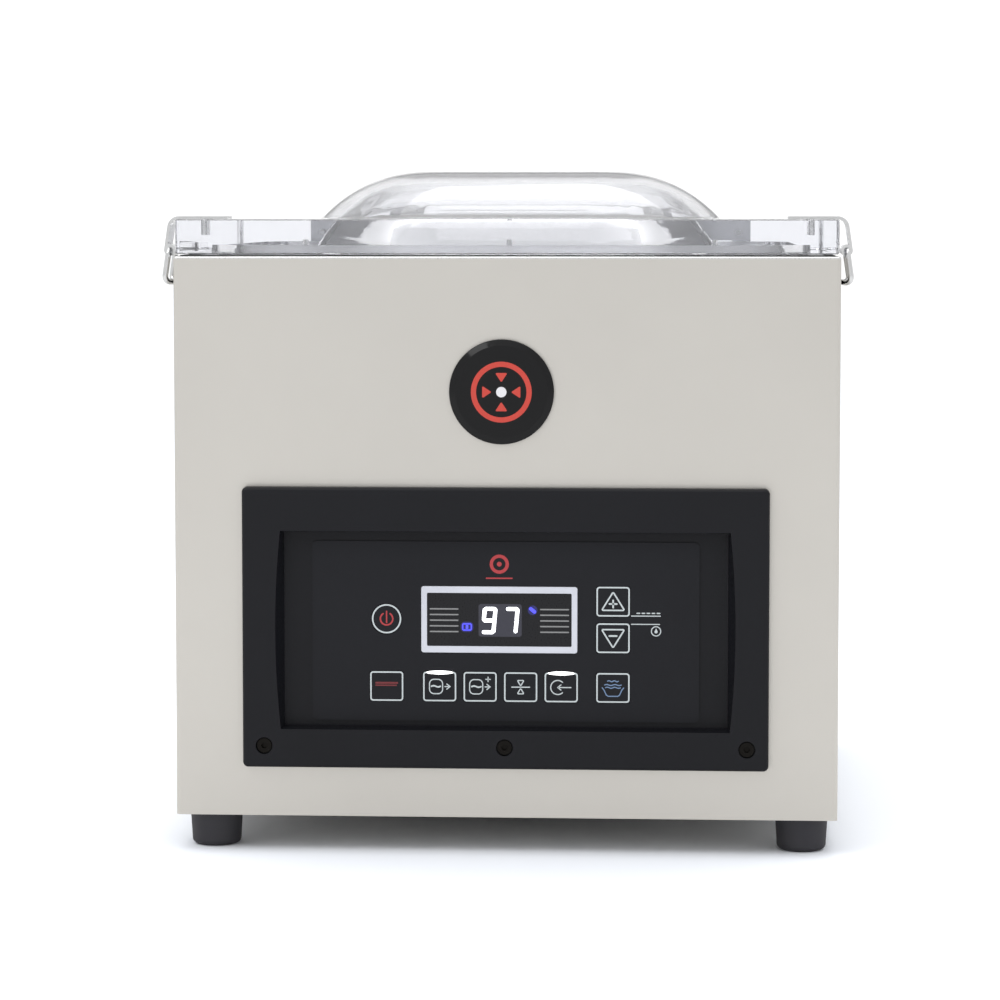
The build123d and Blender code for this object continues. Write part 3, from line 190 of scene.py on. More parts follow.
def cap(centre, way, radius, steps=5):
    """The inner points of a half circle that ends a line."""
    base = math.atan2(way.y, way.x)
    angles = [base - math.pi / 2 + math.pi * s / (steps + 1) for s in range(1, steps + 1)]
    return [(centre[0] + radius * math.cos(a), centre[1] + radius * math.sin(a)) for a in angles]


def outward(piece):
    """Turns every face of a closed mesh outwards."""
    shell = bmesh.new()
    shell.from_mesh(piece.data)
    bmesh.ops.recalc_face_normals(shell, faces=shell.faces)
    shell.to_mesh(piece.data)
    shell.free()
    return piece


# ---- Material helpers -----------------------------------------------------
NOISE_ROUGHNESS = 0.55


class Look:
    """A node material around one Principled shader."""

    def __init__(self, name, colour, roughness, metallic=0.0):
        self.material = bpy.data.materials.new(name)
        self.material.use_nodes = True
        self.tree = self.material.node_tree
        self.shader = self.tree.nodes["Principled BSDF"]
        self.set("Base Color", (*colour, 1.0))
        self.set("Roughness", roughness)
        self.set("Metallic", metallic)
        self.place = self.tree.nodes.new("ShaderNodeTexCoord").outputs["Object"]
        self.bump_from = None

    def set(self, socket, value):
        self.shader.inputs[socket].default_value = value
        return self

    def noise(self, scale, stretch=(1, 1, 1), detail=4.0):
        """Noise in the piece's own space, drawn out along an axis where stretch is under 1."""
        mapping = self.tree.nodes.new("ShaderNodeMapping")
        mapping.inputs["Scale"].default_value = [scale * s for s in stretch]
        self.tree.links.new(self.place, mapping.inputs["Vector"])
        noise = self.tree.nodes.new("ShaderNodeTexNoise")
        noise.inputs["Scale"].default_value = 1.0
        noise.inputs["Detail"].default_value = detail
        noise.inputs["Roughness"].default_value = NOISE_ROUGHNESS
        self.tree.links.new(mapping.outputs["Vector"], noise.inputs["Vector"])
        return noise.outputs["Fac"]

    def cells(self, scale):
        """Distance to the nearest edge of a cell pattern in the piece's own space."""
        mapping = self.tree.nodes.new("ShaderNodeMapping")
        mapping.inputs["Scale"].default_value = [scale] * 3
        self.tree.links.new(self.place, mapping.inputs["Vector"])
        cell = self.tree.nodes.new("ShaderNodeTexVoronoi")
        cell.feature = "DISTANCE_TO_EDGE"
        cell.inputs["Scale"].default_value = 1.0
        self.tree.links.new(mapping.outputs["Vector"], cell.inputs["Vector"])
        return cell.outputs["Distance"]

    def spread(self, value, low, high, start=0.3, end=0.7):
        """A value between low and high that follows a pattern."""
        scale = self.tree.nodes.new("ShaderNodeMapRange")
        scale.inputs["From Min"].default_value = start
        scale.inputs["From Max"].default_value = end
        scale.inputs["To Min"].default_value = low
        scale.inputs["To Max"].default_value = high
        self.tree.links.new(value, scale.inputs["Value"])
        return scale.outputs["Result"]

    def tint(self, value, dark, light, start=0.3, end=0.7):
        """Base colour between two tones, by a pattern."""
        ramp = self.tree.nodes.new("ShaderNodeValToRGB")
        ramp.color_ramp.elements[0].position = start
        ramp.color_ramp.elements[1].position = end
        ramp.color_ramp.elements[0].color = (*dark, 1.0)
        ramp.color_ramp.elements[1].color = (*light, 1.0)
        self.tree.links.new(value, ramp.inputs["Fac"])
        self.tree.links.new(ramp.outputs["Color"], self.shader.inputs["Base Color"])
        return self

    def rough(self, value, low, high, start=0.3, end=0.7):
        self.tree.links.new(self.spread(value, low, high, start, end), self.shader.inputs["Roughness"])
        return self

    def bump(self, value, depth_mm, strength=1.0):
        """Surface relief of a depth in millimetres; calls add up."""
        node = self.tree.nodes.new("ShaderNodeBump")
        node.inputs["Strength"].default_value = strength
        node.inputs["Distance"].default_value = depth_mm * MM
        self.tree.links.new(value, node.inputs["Height"])
        if self.bump_from is not None:
            self.tree.links.new(self.bump_from, node.inputs["Normal"])
        self.bump_from = node.outputs["Normal"]
        self.tree.links.new(self.bump_from, self.shader.inputs["Normal"])
        return self


def shade(colour, factor):
    """A colour made darker or lighter."""
    return tuple(min(1.0, c * factor) for c in colour)


# ---- Materials ------------------------------------------------------------
def satin_steel(name, colour, roughness, grain=(1, 1, 1), depth=0.004):
    """Satin stainless: a fine grain, faint cloudiness and handling marks."""
    look = Look(name, colour, roughness, 1.0)
    fine = look.noise(2600, grain, 3.0)
    clouds = look.noise(9, (1, 1, 1), 3.0)
    look.tint(clouds, shade(colour, 0.985), shade(colour, 1.015))
    look.rough(fine, roughness - 0.04, roughness + 0.05)
    look.bump(fine, depth, 0.35)
    return look.material


def polished_steel(name, colour=(0.66, 0.665, 0.67), roughness=0.2):
    """Bright drawn steel: lines along the drawing, and stains."""
    look = Look(name, colour, roughness, 1.0)
    lines = look.noise(900, (1, 0.06, 1), 4.0)
    marks = look.noise(60, (1, 1, 1), 5.0)
    look.tint(marks, shade(colour, 0.94), shade(colour, 1.03))
    look.rough(lines, roughness - 0.05, roughness + 0.08)
    look.bump(lines, 0.003, 0.3)
    return look.material


def moulded(name, colour, roughness, grain=700, depth=0.012, coat=0.0, gloss=0.5):
    """Moulded plastic: spark-eroded grain, and a slight unevenness of colour and gloss."""
    look = Look(name, colour, roughness)
    look.set("Specular IOR Level", gloss)
    grainy = look.noise(grain, (1, 1, 1), 2.0)
    uneven = look.noise(14, (1, 1, 1), 3.0)
    look.tint(uneven, shade(colour, 0.93), shade(colour, 1.07))
    look.rough(grainy, roughness - 0.05, roughness + 0.07)
    look.bump(grainy, depth, 0.4)
    look.set("Coat Weight", coat)
    return look.material


def soft_rubber(name, colour, roughness=0.62):
    """Dull rubber with pores and settled dust."""
    look = Look(name, colour, roughness)
    pores = look.noise(1500, (1, 1, 1), 2.0)
    dust = look.noise(45, (1, 1, 1), 5.0)
    look.tint(dust, shade(colour, 0.88), shade(colour, 1.22), 0.35, 0.8)
    look.rough(dust, roughness - 0.06, roughness + 0.12)
    look.bump(pores, 0.008, 0.4)
    return look.material


def frosted_silicone(name, colour):
    """Translucent silicone: light passes through it, softened."""
    look = Look(name, colour, 0.5)
    look.set("Transmission Weight", 0.85)
    look.set("IOR", 1.41)
    bloom = look.noise(60, (1, 1, 1), 4.0)
    look.tint(bloom, shade(colour, 0.97), shade(colour, 1.02))
    look.rough(bloom, 0.42, 0.58)
    look.bump(look.noise(900), 0.02, 0.3)
    return look.material


def clear_plate():
    """Thick clear acrylic with polished edges and a trace of milkiness."""
    look = Look("clear_acrylic", (0.915, 0.92, 0.945), 0.0)
    look.set("Transmission Weight", 0.9)
    look.set("IOR", 1.49)
    wipes = look.noise(30, (1, 1, 1), 4.0)
    look.rough(wipes, 0.0, 0.03, 0.45, 0.85)
    waves = look.noise(7, (1, 1, 1), 1.0)
    look.bump(waves, 0.05, 0.1)
    depth = look.tree.nodes.new("ShaderNodeVolumeAbsorption")
    depth.inputs["Color"].default_value = (0.0, 0.06, 0.32, 1.0)
    depth.inputs["Density"].default_value = 0.2
    look.tree.links.new(depth.outputs["Volume"], look.tree.nodes["Material Output"].inputs["Volume"])
    return look.material


def machined_aluminium(name, colour=(0.66, 0.67, 0.68)):
    """Machined metal: tool lines and faint stains."""
    look = Look(name, colour, 0.34, 1.0)
    lines = look.noise(1400, (0.04, 1, 1), 3.0)
    stains = look.noise(35, (1, 1, 1), 4.0)
    look.tint(stains, shade(colour, 0.9), shade(colour, 1.05))
    look.rough(lines, 0.26, 0.42)
    look.bump(lines, 0.004, 0.4)
    return look.material


def cast_metal(name, colour, roughness=0.55):
    """Painted casting: pitted skin and uneven paint."""
    look = Look(name, colour, roughness)
    pits = look.noise(420, (1, 1, 1), 5.0)
    patches = look.noise(22, (1, 1, 1), 4.0)
    look.tint(patches, shade(colour, 0.82), shade(colour, 1.12))
    look.rough(pits, roughness - 0.1, roughness + 0.12)
    look.bump(pits, 0.12, 0.5)
    return look.material


def circuit_laminate():
    """Green solder mask over copper tracks."""
    look = Look("circuit_laminate", (0.01, 0.09, 0.035), 0.35)
    tracks = look.cells(260)
    look.tint(tracks, (0.012, 0.06, 0.025), (0.02, 0.14, 0.05), 0.02, 0.09)
    look.bump(tracks, 0.03, 0.4)
    look.rough(look.noise(90), 0.28, 0.45)
    return look.material


def printed_ink(name, colour, roughness=0.5):
    """Screen-printed ink."""
    look = Look(name, colour, roughness)
    mesh = look.noise(3200, (1, 1, 1), 1.0)
    look.tint(mesh, shade(colour, 0.93), shade(colour, 1.05))
    look.rough(mesh, roughness - 0.06, roughness + 0.08)
    look.bump(mesh, 0.006, 0.3)
    return look.material


def lit_segment(name, colour, strength):
    """A lit part of the display: bright, with the diffuser's slight grain."""
    look = Look(name, shade(colour, 0.8), 0.4)
    grain = look.noise(1800, (1, 1, 1), 1.0)
    look.bump(grain, 0.01, 0.2)
    look.rough(grain, 0.35, 0.5)
    look.set("Emission Color", (*colour, 1.0))
    look.set("Emission Strength", strength)
    return look.material


STEEL = (0.605, 0.587, 0.553)
MATERIALS = {
    "case_steel": satin_steel("case_steel", STEEL, 0.42),
    "chamber_steel": satin_steel("chamber_steel", (0.68, 0.68, 0.675), 0.28, (1, 1, 0.1), 0.003),
    "bright_steel": polished_steel("bright_steel"),
    "screw_steel": polished_steel("screw_steel", (0.7, 0.7, 0.69), 0.28),
    "dark_steel": polished_steel("dark_steel", (0.3, 0.3, 0.32), 0.35),
    "black_screw": polished_steel("black_screw", (0.014, 0.013, 0.012), 0.42),
    "foot_rubber": soft_rubber("foot_rubber", (0.024, 0.023, 0.029)),
    "mount_rubber": soft_rubber("mount_rubber", (0.03, 0.03, 0.03)),
    "gasket_silicone": frosted_silicone("gasket_silicone", (0.99, 0.99, 1.0)),
    "red_silicone": soft_rubber("red_silicone", (0.42, 0.07, 0.04), 0.45),
    "hose_pvc": soft_rubber("hose_pvc", (0.5, 0.52, 0.52), 0.35),
    "bezel_plastic": moulded("bezel_plastic", (0.0062, 0.0065, 0.0087), 0.42, gloss=0.19),
    "key_film": moulded("key_film", (0.0088, 0.0092, 0.012), 0.5, 1100, 0.006, gloss=0.19),
    "lens": moulded("lens", (0.007, 0.007, 0.009), 0.3, 1500, 0.002, gloss=0.25),
    "frame_white": moulded("frame_white", (0.56, 0.57, 0.62), 0.45, gloss=0.3),
    "badge_gloss": moulded("badge_gloss", (0.006, 0.006, 0.0065), 0.12, 300, 0.004, 0.1, gloss=0.16),
    "black_plastic": moulded("black_plastic", (0.014, 0.014, 0.015), 0.45),
    "rocker_plastic": moulded("rocker_plastic", (0.012, 0.1, 0.035), 0.25, 900, 0.004),
    "white_board": moulded("white_board", (0.66, 0.66, 0.65), 0.5, 420, 0.05),
    "insulator": moulded("insulator", (0.66, 0.62, 0.53), 0.6),
    "ptfe_tape": moulded("ptfe_tape", (0.36, 0.23, 0.12), 0.4, 1600, 0.03),
    "winding_tape": moulded("winding_tape", (0.5, 0.36, 0.05), 0.35, 600, 0.03),
    "aluminium": machined_aluminium("aluminium"),
    "brass": machined_aluminium("brass", (0.72, 0.55, 0.24)),
    "heating_band": machined_aluminium("heating_band", (0.45, 0.42, 0.38)),
    "cast_pump": cast_metal("cast_pump", (0.13, 0.15, 0.17)),
    "motor_paint": cast_metal("motor_paint", (0.05, 0.065, 0.09), 0.4),
    "circuit_laminate": circuit_laminate(),
    "clear_acrylic": clear_plate(),
    "ink_light": printed_ink("ink_light", (0.5, 0.54, 0.545)),
    "ink_grey": printed_ink("ink_grey", (0.22, 0.22, 0.22)),
    "ink_red": printed_ink("ink_red", (0.4, 0.03, 0.035)),
    "ink_dark_red": printed_ink("ink_dark_red", (0.15, 0.014, 0.018)),
    "ink_blue": printed_ink("ink_blue", (0.14, 0.22, 0.36)),
    "badge_red": printed_ink("badge_red", (0.5, 0.04, 0.024), 0.4),
    "badge_white": printed_ink("badge_white", (0.66, 0.65, 0.66), 0.4),
    "digit_glow": lit_segment("digit_glow", (0.95, 0.96, 1.0), 3.0),
    "digit_halo": lit_segment("digit_halo", (0.022, 0.022, 0.034), 0.5),
    "blue_glow": lit_segment("blue_glow", (0.07, 0.07, 1.0), 0.9),
    "blue_halo": lit_segment("blue_halo", (0.008, 0.008, 0.09), 0.6),
    "key_glow": lit_segment("key_glow", (1.0, 1.0, 1.0), 2.5),
}

# ---- Finishes of the CAD nodes --------------------------------------------
FINISHES = {
    "case_steel": ["casing", "rear_panel", "base_plate"],
    "chamber_steel": ["deck_chamber"],
    "bright_steel": ["hinge_fixed_leaves", "hinge_lid_leaves", "hinge_pins", "clip_straps",
                     "clip_wire_right", "clip_wire_left", "catch_plates", "lift_pistons",
                     "suction_port"],
    "screw_steel": ["case_screws", "lid_screws"],
    "dark_steel": ["hinge_springs", "pump_rotor"],
    "black_screw": ["bezel_screws"],
    "foot_rubber": ["rubber_feet"],
    "mount_rubber": ["pump_mounts"],
    "gasket_silicone": ["lid_gasket"],
    "red_silicone": ["counter_strip"],
    "hose_pvc": ["hoses"],
    "bezel_plastic": ["control_bezel"],
    "key_film": ["overlay_panel", "power_key", "stop_key", "vacuum_key", "vacuum_plus_key", "seal_key",
                 "vent_key", "marinate_key", "increase_key", "decrease_key"],
    "lens": ["display_window"],
    "frame_white": ["display_frame"],
    "badge_gloss": ["badge"],
    "black_plastic": ["power_inlet", "switch_frame", "exhaust_muffler", "tact_switches", "cooling_fan",
                      "valve_coils"],
    "rocker_plastic": ["main_rocker"],
    "white_board": ["filler_plates"],
    "insulator": ["seal_insulator"],
    "ptfe_tape": ["seal_tape"],
    "winding_tape": ["transformer"],
    "aluminium": ["counter_bar", "lift_cylinders", "seal_bar", "valve_block", "oil_tank"],
    "heating_band": ["seal_wires"],
    "cast_pump": ["pump_body"],
    "motor_paint": ["pump_motor", "fan_cowl"],
    "circuit_laminate": ["control_board", "power_board"],
    "clear_acrylic": ["lid_shell"],
}
for look, nodes in FINISHES.items():
    for node in nodes:
        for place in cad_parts[node].material_slots:
            place.material = MATERIALS[look]


# ---- Printed marks on the keys --------------------------------------------
LINE = 0.85 * MM
FINE = 0.62 * MM
KEY_FRAME_W = 18.4 * MM
KEY_FRAME_H = 16.4 * MM
KEY_FRAME_R = 1.4 * MM
POWER_RIM_R = 8.1 * MM
POWER_SIGN_R = 3.6 * MM
POT_W = 7.6 * MM
POT_H = 8.4 * MM
POT_R = 2.6 * MM
MARK_R = 4.6 * MM
MARK_W = 1.9 * MM
MARK_RISE = 13.0 * MM  # the generic mark's centre, over the display's frame


def face_centre(node):
    """Centre of a node seen from the front, and its front face."""
    low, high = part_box(node)
    return (low.x + high.x) / 2, (low.z + high.z) / 2, low.y


def wave(cx, cz, width, height, turns=1.5, steps=14):
    """A short wavy line."""
    points = []
    for i in range(steps + 1):
        t = i / steps
        points.append((cx + (t - 0.5) * width, cz + height * math.sin(2 * math.pi * turns * t)))
    return points


def pot(print_, cx, cz):
    """Rounded container."""
    print_.loop(box_outline(cx, cz, POT_W, POT_H, POT_R), FINE)


def arrow(print_, tip_x, cz, way, size=1.5 * MM):
    """Small arrow head with a short shaft."""
    back = tip_x - way * size * 1.25
    print_.line([(back, cz + size), (tip_x, cz), (back, cz - size)], FINE)
    print_.line([(back - way * 0.7 * size, cz), (tip_x - way * 0.5 * size, cz)], FINE)


def key_frame(node):
    """The light outline round a square key."""
    cx, cz, y = face_centre(node)
    print_ = Print(y)
    print_.loop(box_outline(cx, cz, KEY_FRAME_W, KEY_FRAME_H, KEY_FRAME_R), LINE)
    return print_, cx, cz


def print_power():
    cx, cz, y = face_centre("power_key")
    rim = Print(y)
    rim.loop(arc(cx, cz, POWER_RIM_R, 0, 352.5, 47), LINE)
    rim.piece("power_key_rim", MATERIALS["ink_light"], "power_button")
    sign = Print(y)
    sign.line(arc(cx, cz, POWER_SIGN_R, 125, 415, 28), 0.9 * MM)
    sign.line([(cx, cz + 4.4 * MM), (cx, cz - 2.2 * MM)], 0.8 * MM)
    sign.piece("power_key_sign", MATERIALS["ink_red"], "power_button")


def print_stop():
    print_, cx, cz = key_frame("stop_key")
    print_.piece("stop_key_outline", MATERIALS["ink_light"], "stop_button")
    bar = Print(face_centre("stop_key")[2])
    bar.fill(box_outline(cx, cz + 1.9 * MM, 13.2 * MM, 1.1 * MM, 0.3 * MM))
    bar.fill(box_outline(cx - 0.4 * MM, cz + 0.5 * MM, 12.6 * MM, 0.8 * MM, 0.3 * MM))
    bar.piece("stop_key_bar", MATERIALS["ink_dark_red"], "stop_button")


def print_vacuum():
    print_, cx, cz = key_frame("vacuum_key")
    pot(print_, cx - 2.1 * MM, cz)
    print_.line(wave(cx - 2.2 * MM, cz + 0.1 * MM, 5.2 * MM, 0.35 * MM, 1.0), 0.9 * MM)
    arrow(print_, cx + 6.0 * MM, cz, 1)
    print_.piece("vacuum_key_marks", MATERIALS["ink_light"], "vacuum_button")


def print_vacuum_plus():
    print_, cx, cz = key_frame("vacuum_plus_key")
    pot(print_, cx - 2.3 * MM, cz)
    print_.line(wave(cx - 2.2 * MM, cz + 0.1 * MM, 5.4 * MM, 0.35 * MM, 1.0), 0.9 * MM)
    arrow(print_, cx + 5.8 * MM, cz, 1)
    tx, tz = cx + 4.6 * MM, cz + 4.4 * MM
    print_.line([(tx - 1.3 * MM, tz), (tx + 1.3 * MM, tz)], FINE)
    print_.line([(tx, tz - 1.3 * MM), (tx, tz + 1.3 * MM)], FINE)
    print_.piece("vacuum_plus_key_marks", MATERIALS["ink_light"], "vacuum_plus_button")


def print_seal():
    print_, cx, cz = key_frame("seal_key")
    print_.line([(cx - 5.2 * MM, cz), (cx + 5.2 * MM, cz)], FINE)
    for way in (1, -1):
        tip, base = cz + way * 0.7 * MM, cz + way * 3.9 * MM
        jaw = [(cx, tip), (cx + 1.9 * MM, base), (cx - 1.9 * MM, base)]
        print_.loop(round_corners(jaw[::way], 0.35 * MM), FINE)
    print_.piece("seal_key_marks", MATERIALS["ink_light"], "seal_button")


def print_vent():
    print_, cx, cz = key_frame("vent_key")
    left = cx - 2.0 * MM
    side = arc(left, cz, 4.1 * MM, 48, 312, 26)
    print_.line(side, FINE)
    print_.line([(cx + 5.6 * MM, cz), (cx - 1.6 * MM, cz)], FINE)
    head = cx - 0.2 * MM
    print_.line([(head, cz + 1.5 * MM), (left, cz), (head, cz - 1.5 * MM)], FINE)
    print_.piece("vent_key_marks", MATERIALS["ink_light"], "vent_button")


def print_marinate():
    print_, cx, cz = key_frame("marinate_key")
    print_.piece("marinate_key_outline", MATERIALS["ink_light"], "marinate_button")
    bowl = Print(face_centre("marinate_key")[2])
    rim = [(cx - 6.2 * MM, cz), (cx - 5.3 * MM, cz - 1.0 * MM)]
    base = [(cx - 3.8 * MM, cz - 4.2 * MM), (cx - 2.8 * MM, cz - 4.9 * MM),
            (cx + 2.8 * MM, cz - 4.9 * MM), (cx + 3.8 * MM, cz - 4.2 * MM)]
    bowl.line(rim + base + [(cx + 5.3 * MM, cz - 1.0 * MM), (cx + 6.2 * MM, cz)], FINE)
    for level, width in ((0.1, 8.6), (1.7, 9.6), (3.9, 6.2)):
        bowl.line(wave(cx, cz + level * MM, width * MM, 0.3 * MM, 2.0), FINE)
    bowl.piece("marinate_key_bowl", MATERIALS["ink_blue"], "marinate_button")


def print_step(node, body, way):
    """Triangle pointing up or down, with a plus or a minus in it."""
    print_, cx, cz = key_frame(node)
    tip, base = cz + way * 5.6 * MM, cz - way * 5.0 * MM
    corners = [(cx - 6.6 * MM, base), (cx + 6.6 * MM, base), (cx, tip)]
    print_.loop(round_corners(corners[::way], 0.5 * MM), LINE)
    sign_z = cz - way * 1.3 * MM
    print_.line([(cx - 2.1 * MM, sign_z), (cx + 2.1 * MM, sign_z)], 1.0 * MM)
    if way > 0:
        print_.line([(cx, sign_z - 2.1 * MM), (cx, sign_z + 2.1 * MM)], 1.0 * MM)
    print_.piece(node + "_marks", MATERIALS["ink_light"], body)


def print_film_marks():
    """Two rules and a drop beside the step keys, and the small generic mark over the display."""
    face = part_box("overlay_panel")[0].y
    rules = Print(face)
    right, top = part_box("increase_key")[1].x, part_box("increase_key")[0].z
    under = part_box("decrease_key")[1].z
    rules.line([(right + 0.8 * MM, top + 0.6 * MM), (right + 17.5 * MM, top + 0.6 * MM)], 0.55 * MM)
    rules.line([(right + 0.8 * MM, under - 0.6 * MM), (right + 17.0 * MM, under - 0.6 * MM)], 0.55 * MM)
    for i in range(5):
        x = right + (4.0 + 2.9 * i) * MM
        rules.line([(x, top + 2.2 * MM), (x + 1.5 * MM, top + 2.2 * MM)], 0.7 * MM)
    cx, cz = right + 15.0 * MM, under - 4.6 * MM
    rules.loop(arc(cx, cz, 2.7 * MM, 0, 345, 23), 0.55 * MM)
    rules.fill(arc(cx, cz - 0.3 * MM, 0.9 * MM, -215, 35, 14) + [(cx, cz + 1.7 * MM)])
    rules.piece("film_rules", MATERIALS["ink_light"], "machine")
    mark = Print(face)
    frame_low, frame_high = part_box("display_frame")
    mx, mz = (frame_low.x + frame_high.x) / 2, frame_high.z + MARK_RISE
    mark.loop(arc(mx, mz, MARK_R, 0, 350, 35), MARK_W)
    mark.dot(mx, mz, 1.4 * MM)
    mark.line([(mx - 7.4 * MM, mz - 8.2 * MM), (mx + 7.4 * MM, mz - 8.2 * MM)], 0.8 * MM)
    mark.piece("film_mark", MATERIALS["ink_red"], "machine")


print_power()
print_stop()
print_vacuum()
print_vacuum_plus()
print_seal()
print_vent()
print_marinate()
print_step("increase_key", "increase_button", 1)
print_step("decrease_key", "decrease_button", -1)
print_film_marks()


# ---- Display --------------------------------------------------------------
DIGIT_H = 13.6 * MM
DIGIT_W = 6.2 * MM
STROKE = 2.1 * MM
SLANT = 0.09
BAR_HALF = 8.0 * MM
BAR_PITCH = 3.3 * MM
BAR_TOP = 6.1 * MM
BARS_FROM_CENTRE = 32.0 * MM
SEGMENTS = {
    "top": [(0, 1), (1, 1)], "middle": [(0, 0.5), (1, 0.5)], "bottom": [(0, 0), (1, 0)],
    "upper_left": [(0, 0.5), (0, 1)], "upper_right": [(1, 0.5), (1, 1)],
    "lower_left": [(0, 0), (0, 0.5)], "lower_right": [(1, 0), (1, 0.5)],
}
NINE = ["top", "upper_left", "upper_right", "middle", "lower_right", "bottom"]
SEVEN = ["top", "upper_right", "lower_right"]


def digit(print_, left, low, segments):
    """Seven-segment numeral, leaning slightly to the right."""
    for name in segments:
        ends = []
        for u, v in SEGMENTS[name]:
            ends.append(Vector((left + u * DIGIT_W + SLANT * v * DIGIT_H, low + v * DIGIT_H)))
        way = (ends[1] - ends[0]).normalized() * STROKE * 0.3
        print_.line([tuple(ends[0] + way), tuple(ends[1] - way)], STROKE)


def display():
    low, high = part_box("display_window")
    cx, cz, y = (low.x + high.x) / 2, (low.z + high.z) / 2, low.y
    halo = Print(y, 0.03 * MM)
    halo.fill(box_outline(cx + 0.5 * MM, cz - 0.4 * MM, 25 * MM, 19 * MM, 1.5 * MM))
    halo.piece("digit_halo", MATERIALS["digit_halo"], "machine", "display_lens")
    digits = Print(y, 0.09 * MM)
    low_z = cz - 0.5 * MM - DIGIT_H / 2
    digit(digits, cx - 9.6 * MM, low_z, NINE)
    digit(digits, cx + 3.2 * MM, low_z, SEVEN)
    digits.piece("digits", MATERIALS["digit_glow"], "machine", "display_lens")
    bars = Print(y, 0.06 * MM)
    for side in (-1, 1):
        for row in range(5):
            z = cz + BAR_TOP - BAR_PITCH * row
            middle = cx + side * BARS_FROM_CENTRE
            bars.line([(middle - BAR_HALF, z), (middle + BAR_HALF, z)], 0.8 * MM)
    bars.piece("level_bars", MATERIALS["ink_grey"], "machine", "display_lens")
    gauge = Print(y, 0.08 * MM)
    gx, gz = cx - 18.7 * MM, cz - 4.3 * MM
    gauge.loop(box_outline(gx, gz, 5.0 * MM, 3.6 * MM, 0.8 * MM), 0.7 * MM)
    gauge.fill(box_outline(gx, gz, 1.4 * MM, 2.4 * MM, 0.3 * MM))
    px, pz = cx + 19.3 * MM, cz + 5.6 * MM
    gauge.line([(px - 1.1 * MM, pz + 0.9 * MM), (px + 1.1 * MM, pz - 0.9 * MM)], 1.9 * MM)
    gauge.piece("blue_signs", MATERIALS["blue_glow"], "machine", "display_lens")
    glow = Print(y, 0.03 * MM)
    glow.fill(box_outline(gx, gz, 7.4 * MM, 6.0 * MM, 2.4 * MM))
    glow.dot(px, pz, 2.8 * MM)
    glow.piece("blue_halo", MATERIALS["blue_halo"], "machine", "display_lens")


def key_light(node, body):
    """The lit lens along a key's top edge."""
    cx, cz, y = face_centre(node)
    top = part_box(node)[1].z
    lens = Print(y, 0.12 * MM)
    half_w, half_h = 7.8 * MM, 1.05 * MM
    points = []
    for i in range(32):
        a = 2 * math.pi * i / 32
        points.append((cx + half_w * math.cos(a), top - 0.6 * MM + half_h * math.sin(a)))
    lens.fill(points)
    lens.piece(node + "_light", MATERIALS["key_glow"], body)


display()
key_light("vacuum_key", "vacuum_button")
key_light("vent_key", "vent_button")


# ---- Badge ----------------------------------------------------------------
RING_R = 16.0 * MM
RING_W = 3.0 * MM
ARROW_TIP = 5.6 * MM
ARROW_BASE = 11.0 * MM
ARROW_HALF_W = 3.6 * MM
DOT_R = 3.0 * MM


def badge_mark():
    """Generic sign: four short arrows that close in on a dot, inside a ring."""
    cx, cz, y = face_centre("badge")
    ring = Print(y, 0.08 * MM)
    ring.loop(arc(cx, cz, RING_R, 0, 354, 59), RING_W)
    for k in range(4):
        a = math.pi / 2 * k
        way = Vector((math.cos(a), math.sin(a)))
        side = Vector((-way.y, way.x))
        centre = Vector((cx, cz))
        tip = centre + way * ARROW_TIP
        base = centre + way * ARROW_BASE
        corners = [tip, base + side * ARROW_HALF_W, base - side * ARROW_HALF_W]
        ring.fill(round_corners([tuple(c) for c in corners], 0.5 * MM))
    ring.piece("badge_ring", MATERIALS["badge_red"], "machine", "badge_black")
    dot = Print(y, 0.08 * MM)
    dot.dot(cx, cz, DOT_R, 36)
    dot.piece("badge_dot", MATERIALS["badge_white"], "machine", "badge_black")


badge_mark()


# ---- Small fittings, and a painted shadow strip ---------------------------
# The dark strip below is painted shadow: it fills the gap between the casing and the lid's rim, where
# there is only shade.
STRIP_INSET = 5.2 * MM
STRIP_CORNER_R = 3.0 * MM
STRIP_FILL = 0.9  # the share of the gap between casing and lid that the strip takes up
PIN_W = 2.0 * MM
PIN_H = 4.0 * MM
PIN_ROOT = 18 * MM  # depths are from the inlet's outer face
PIN_SHOULDER = 5.0 * MM
PIN_TIP = 4.0 * MM


def painted_gap_shadow():
    """Thin dark strip along the casing's top edges, under the lid's rim: painted shadow that stands in
    for the shade in the gap between casing and lid.
    """
    low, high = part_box("casing")
    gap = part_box("lid_shell")[0].z - high.z
    section = [(-2.2, 0.0), (-2.2, 0.62), (-1.7, 0.88), (1.7, 0.88), (2.2, 0.62), (2.2, 0.0)]
    width, depth = high.x - low.x - 2 * STRIP_INSET, high.y - low.y - 2 * STRIP_INSET
    middle_x, middle_y = (low.x + high.x) / 2, (low.y + high.y) / 2 - 1.0 * MM
    path = box_outline(middle_x, middle_y, width, depth, STRIP_CORNER_R)
    verts, faces = [], []
    count = len(path)
    for across, up in section:
        ring = offsets(path, -across * MM, True)
        verts += [(x, y, high.z + up * gap * STRIP_FILL) for x, y in ring]
    for level in range(len(section)):
        after = (level + 1) % len(section)
        for i in range(count):
            j = (i + 1) % count
            faces.append((level * count + i, level * count + j, after * count + j, after * count + i))
    # Black rubber material, used here only to paint the shadow in the gap.
    rubber = MATERIALS["mount_rubber"]
    outward(new_piece("painted_gap_shadow_strip", verts, faces, rubber, "machine"))


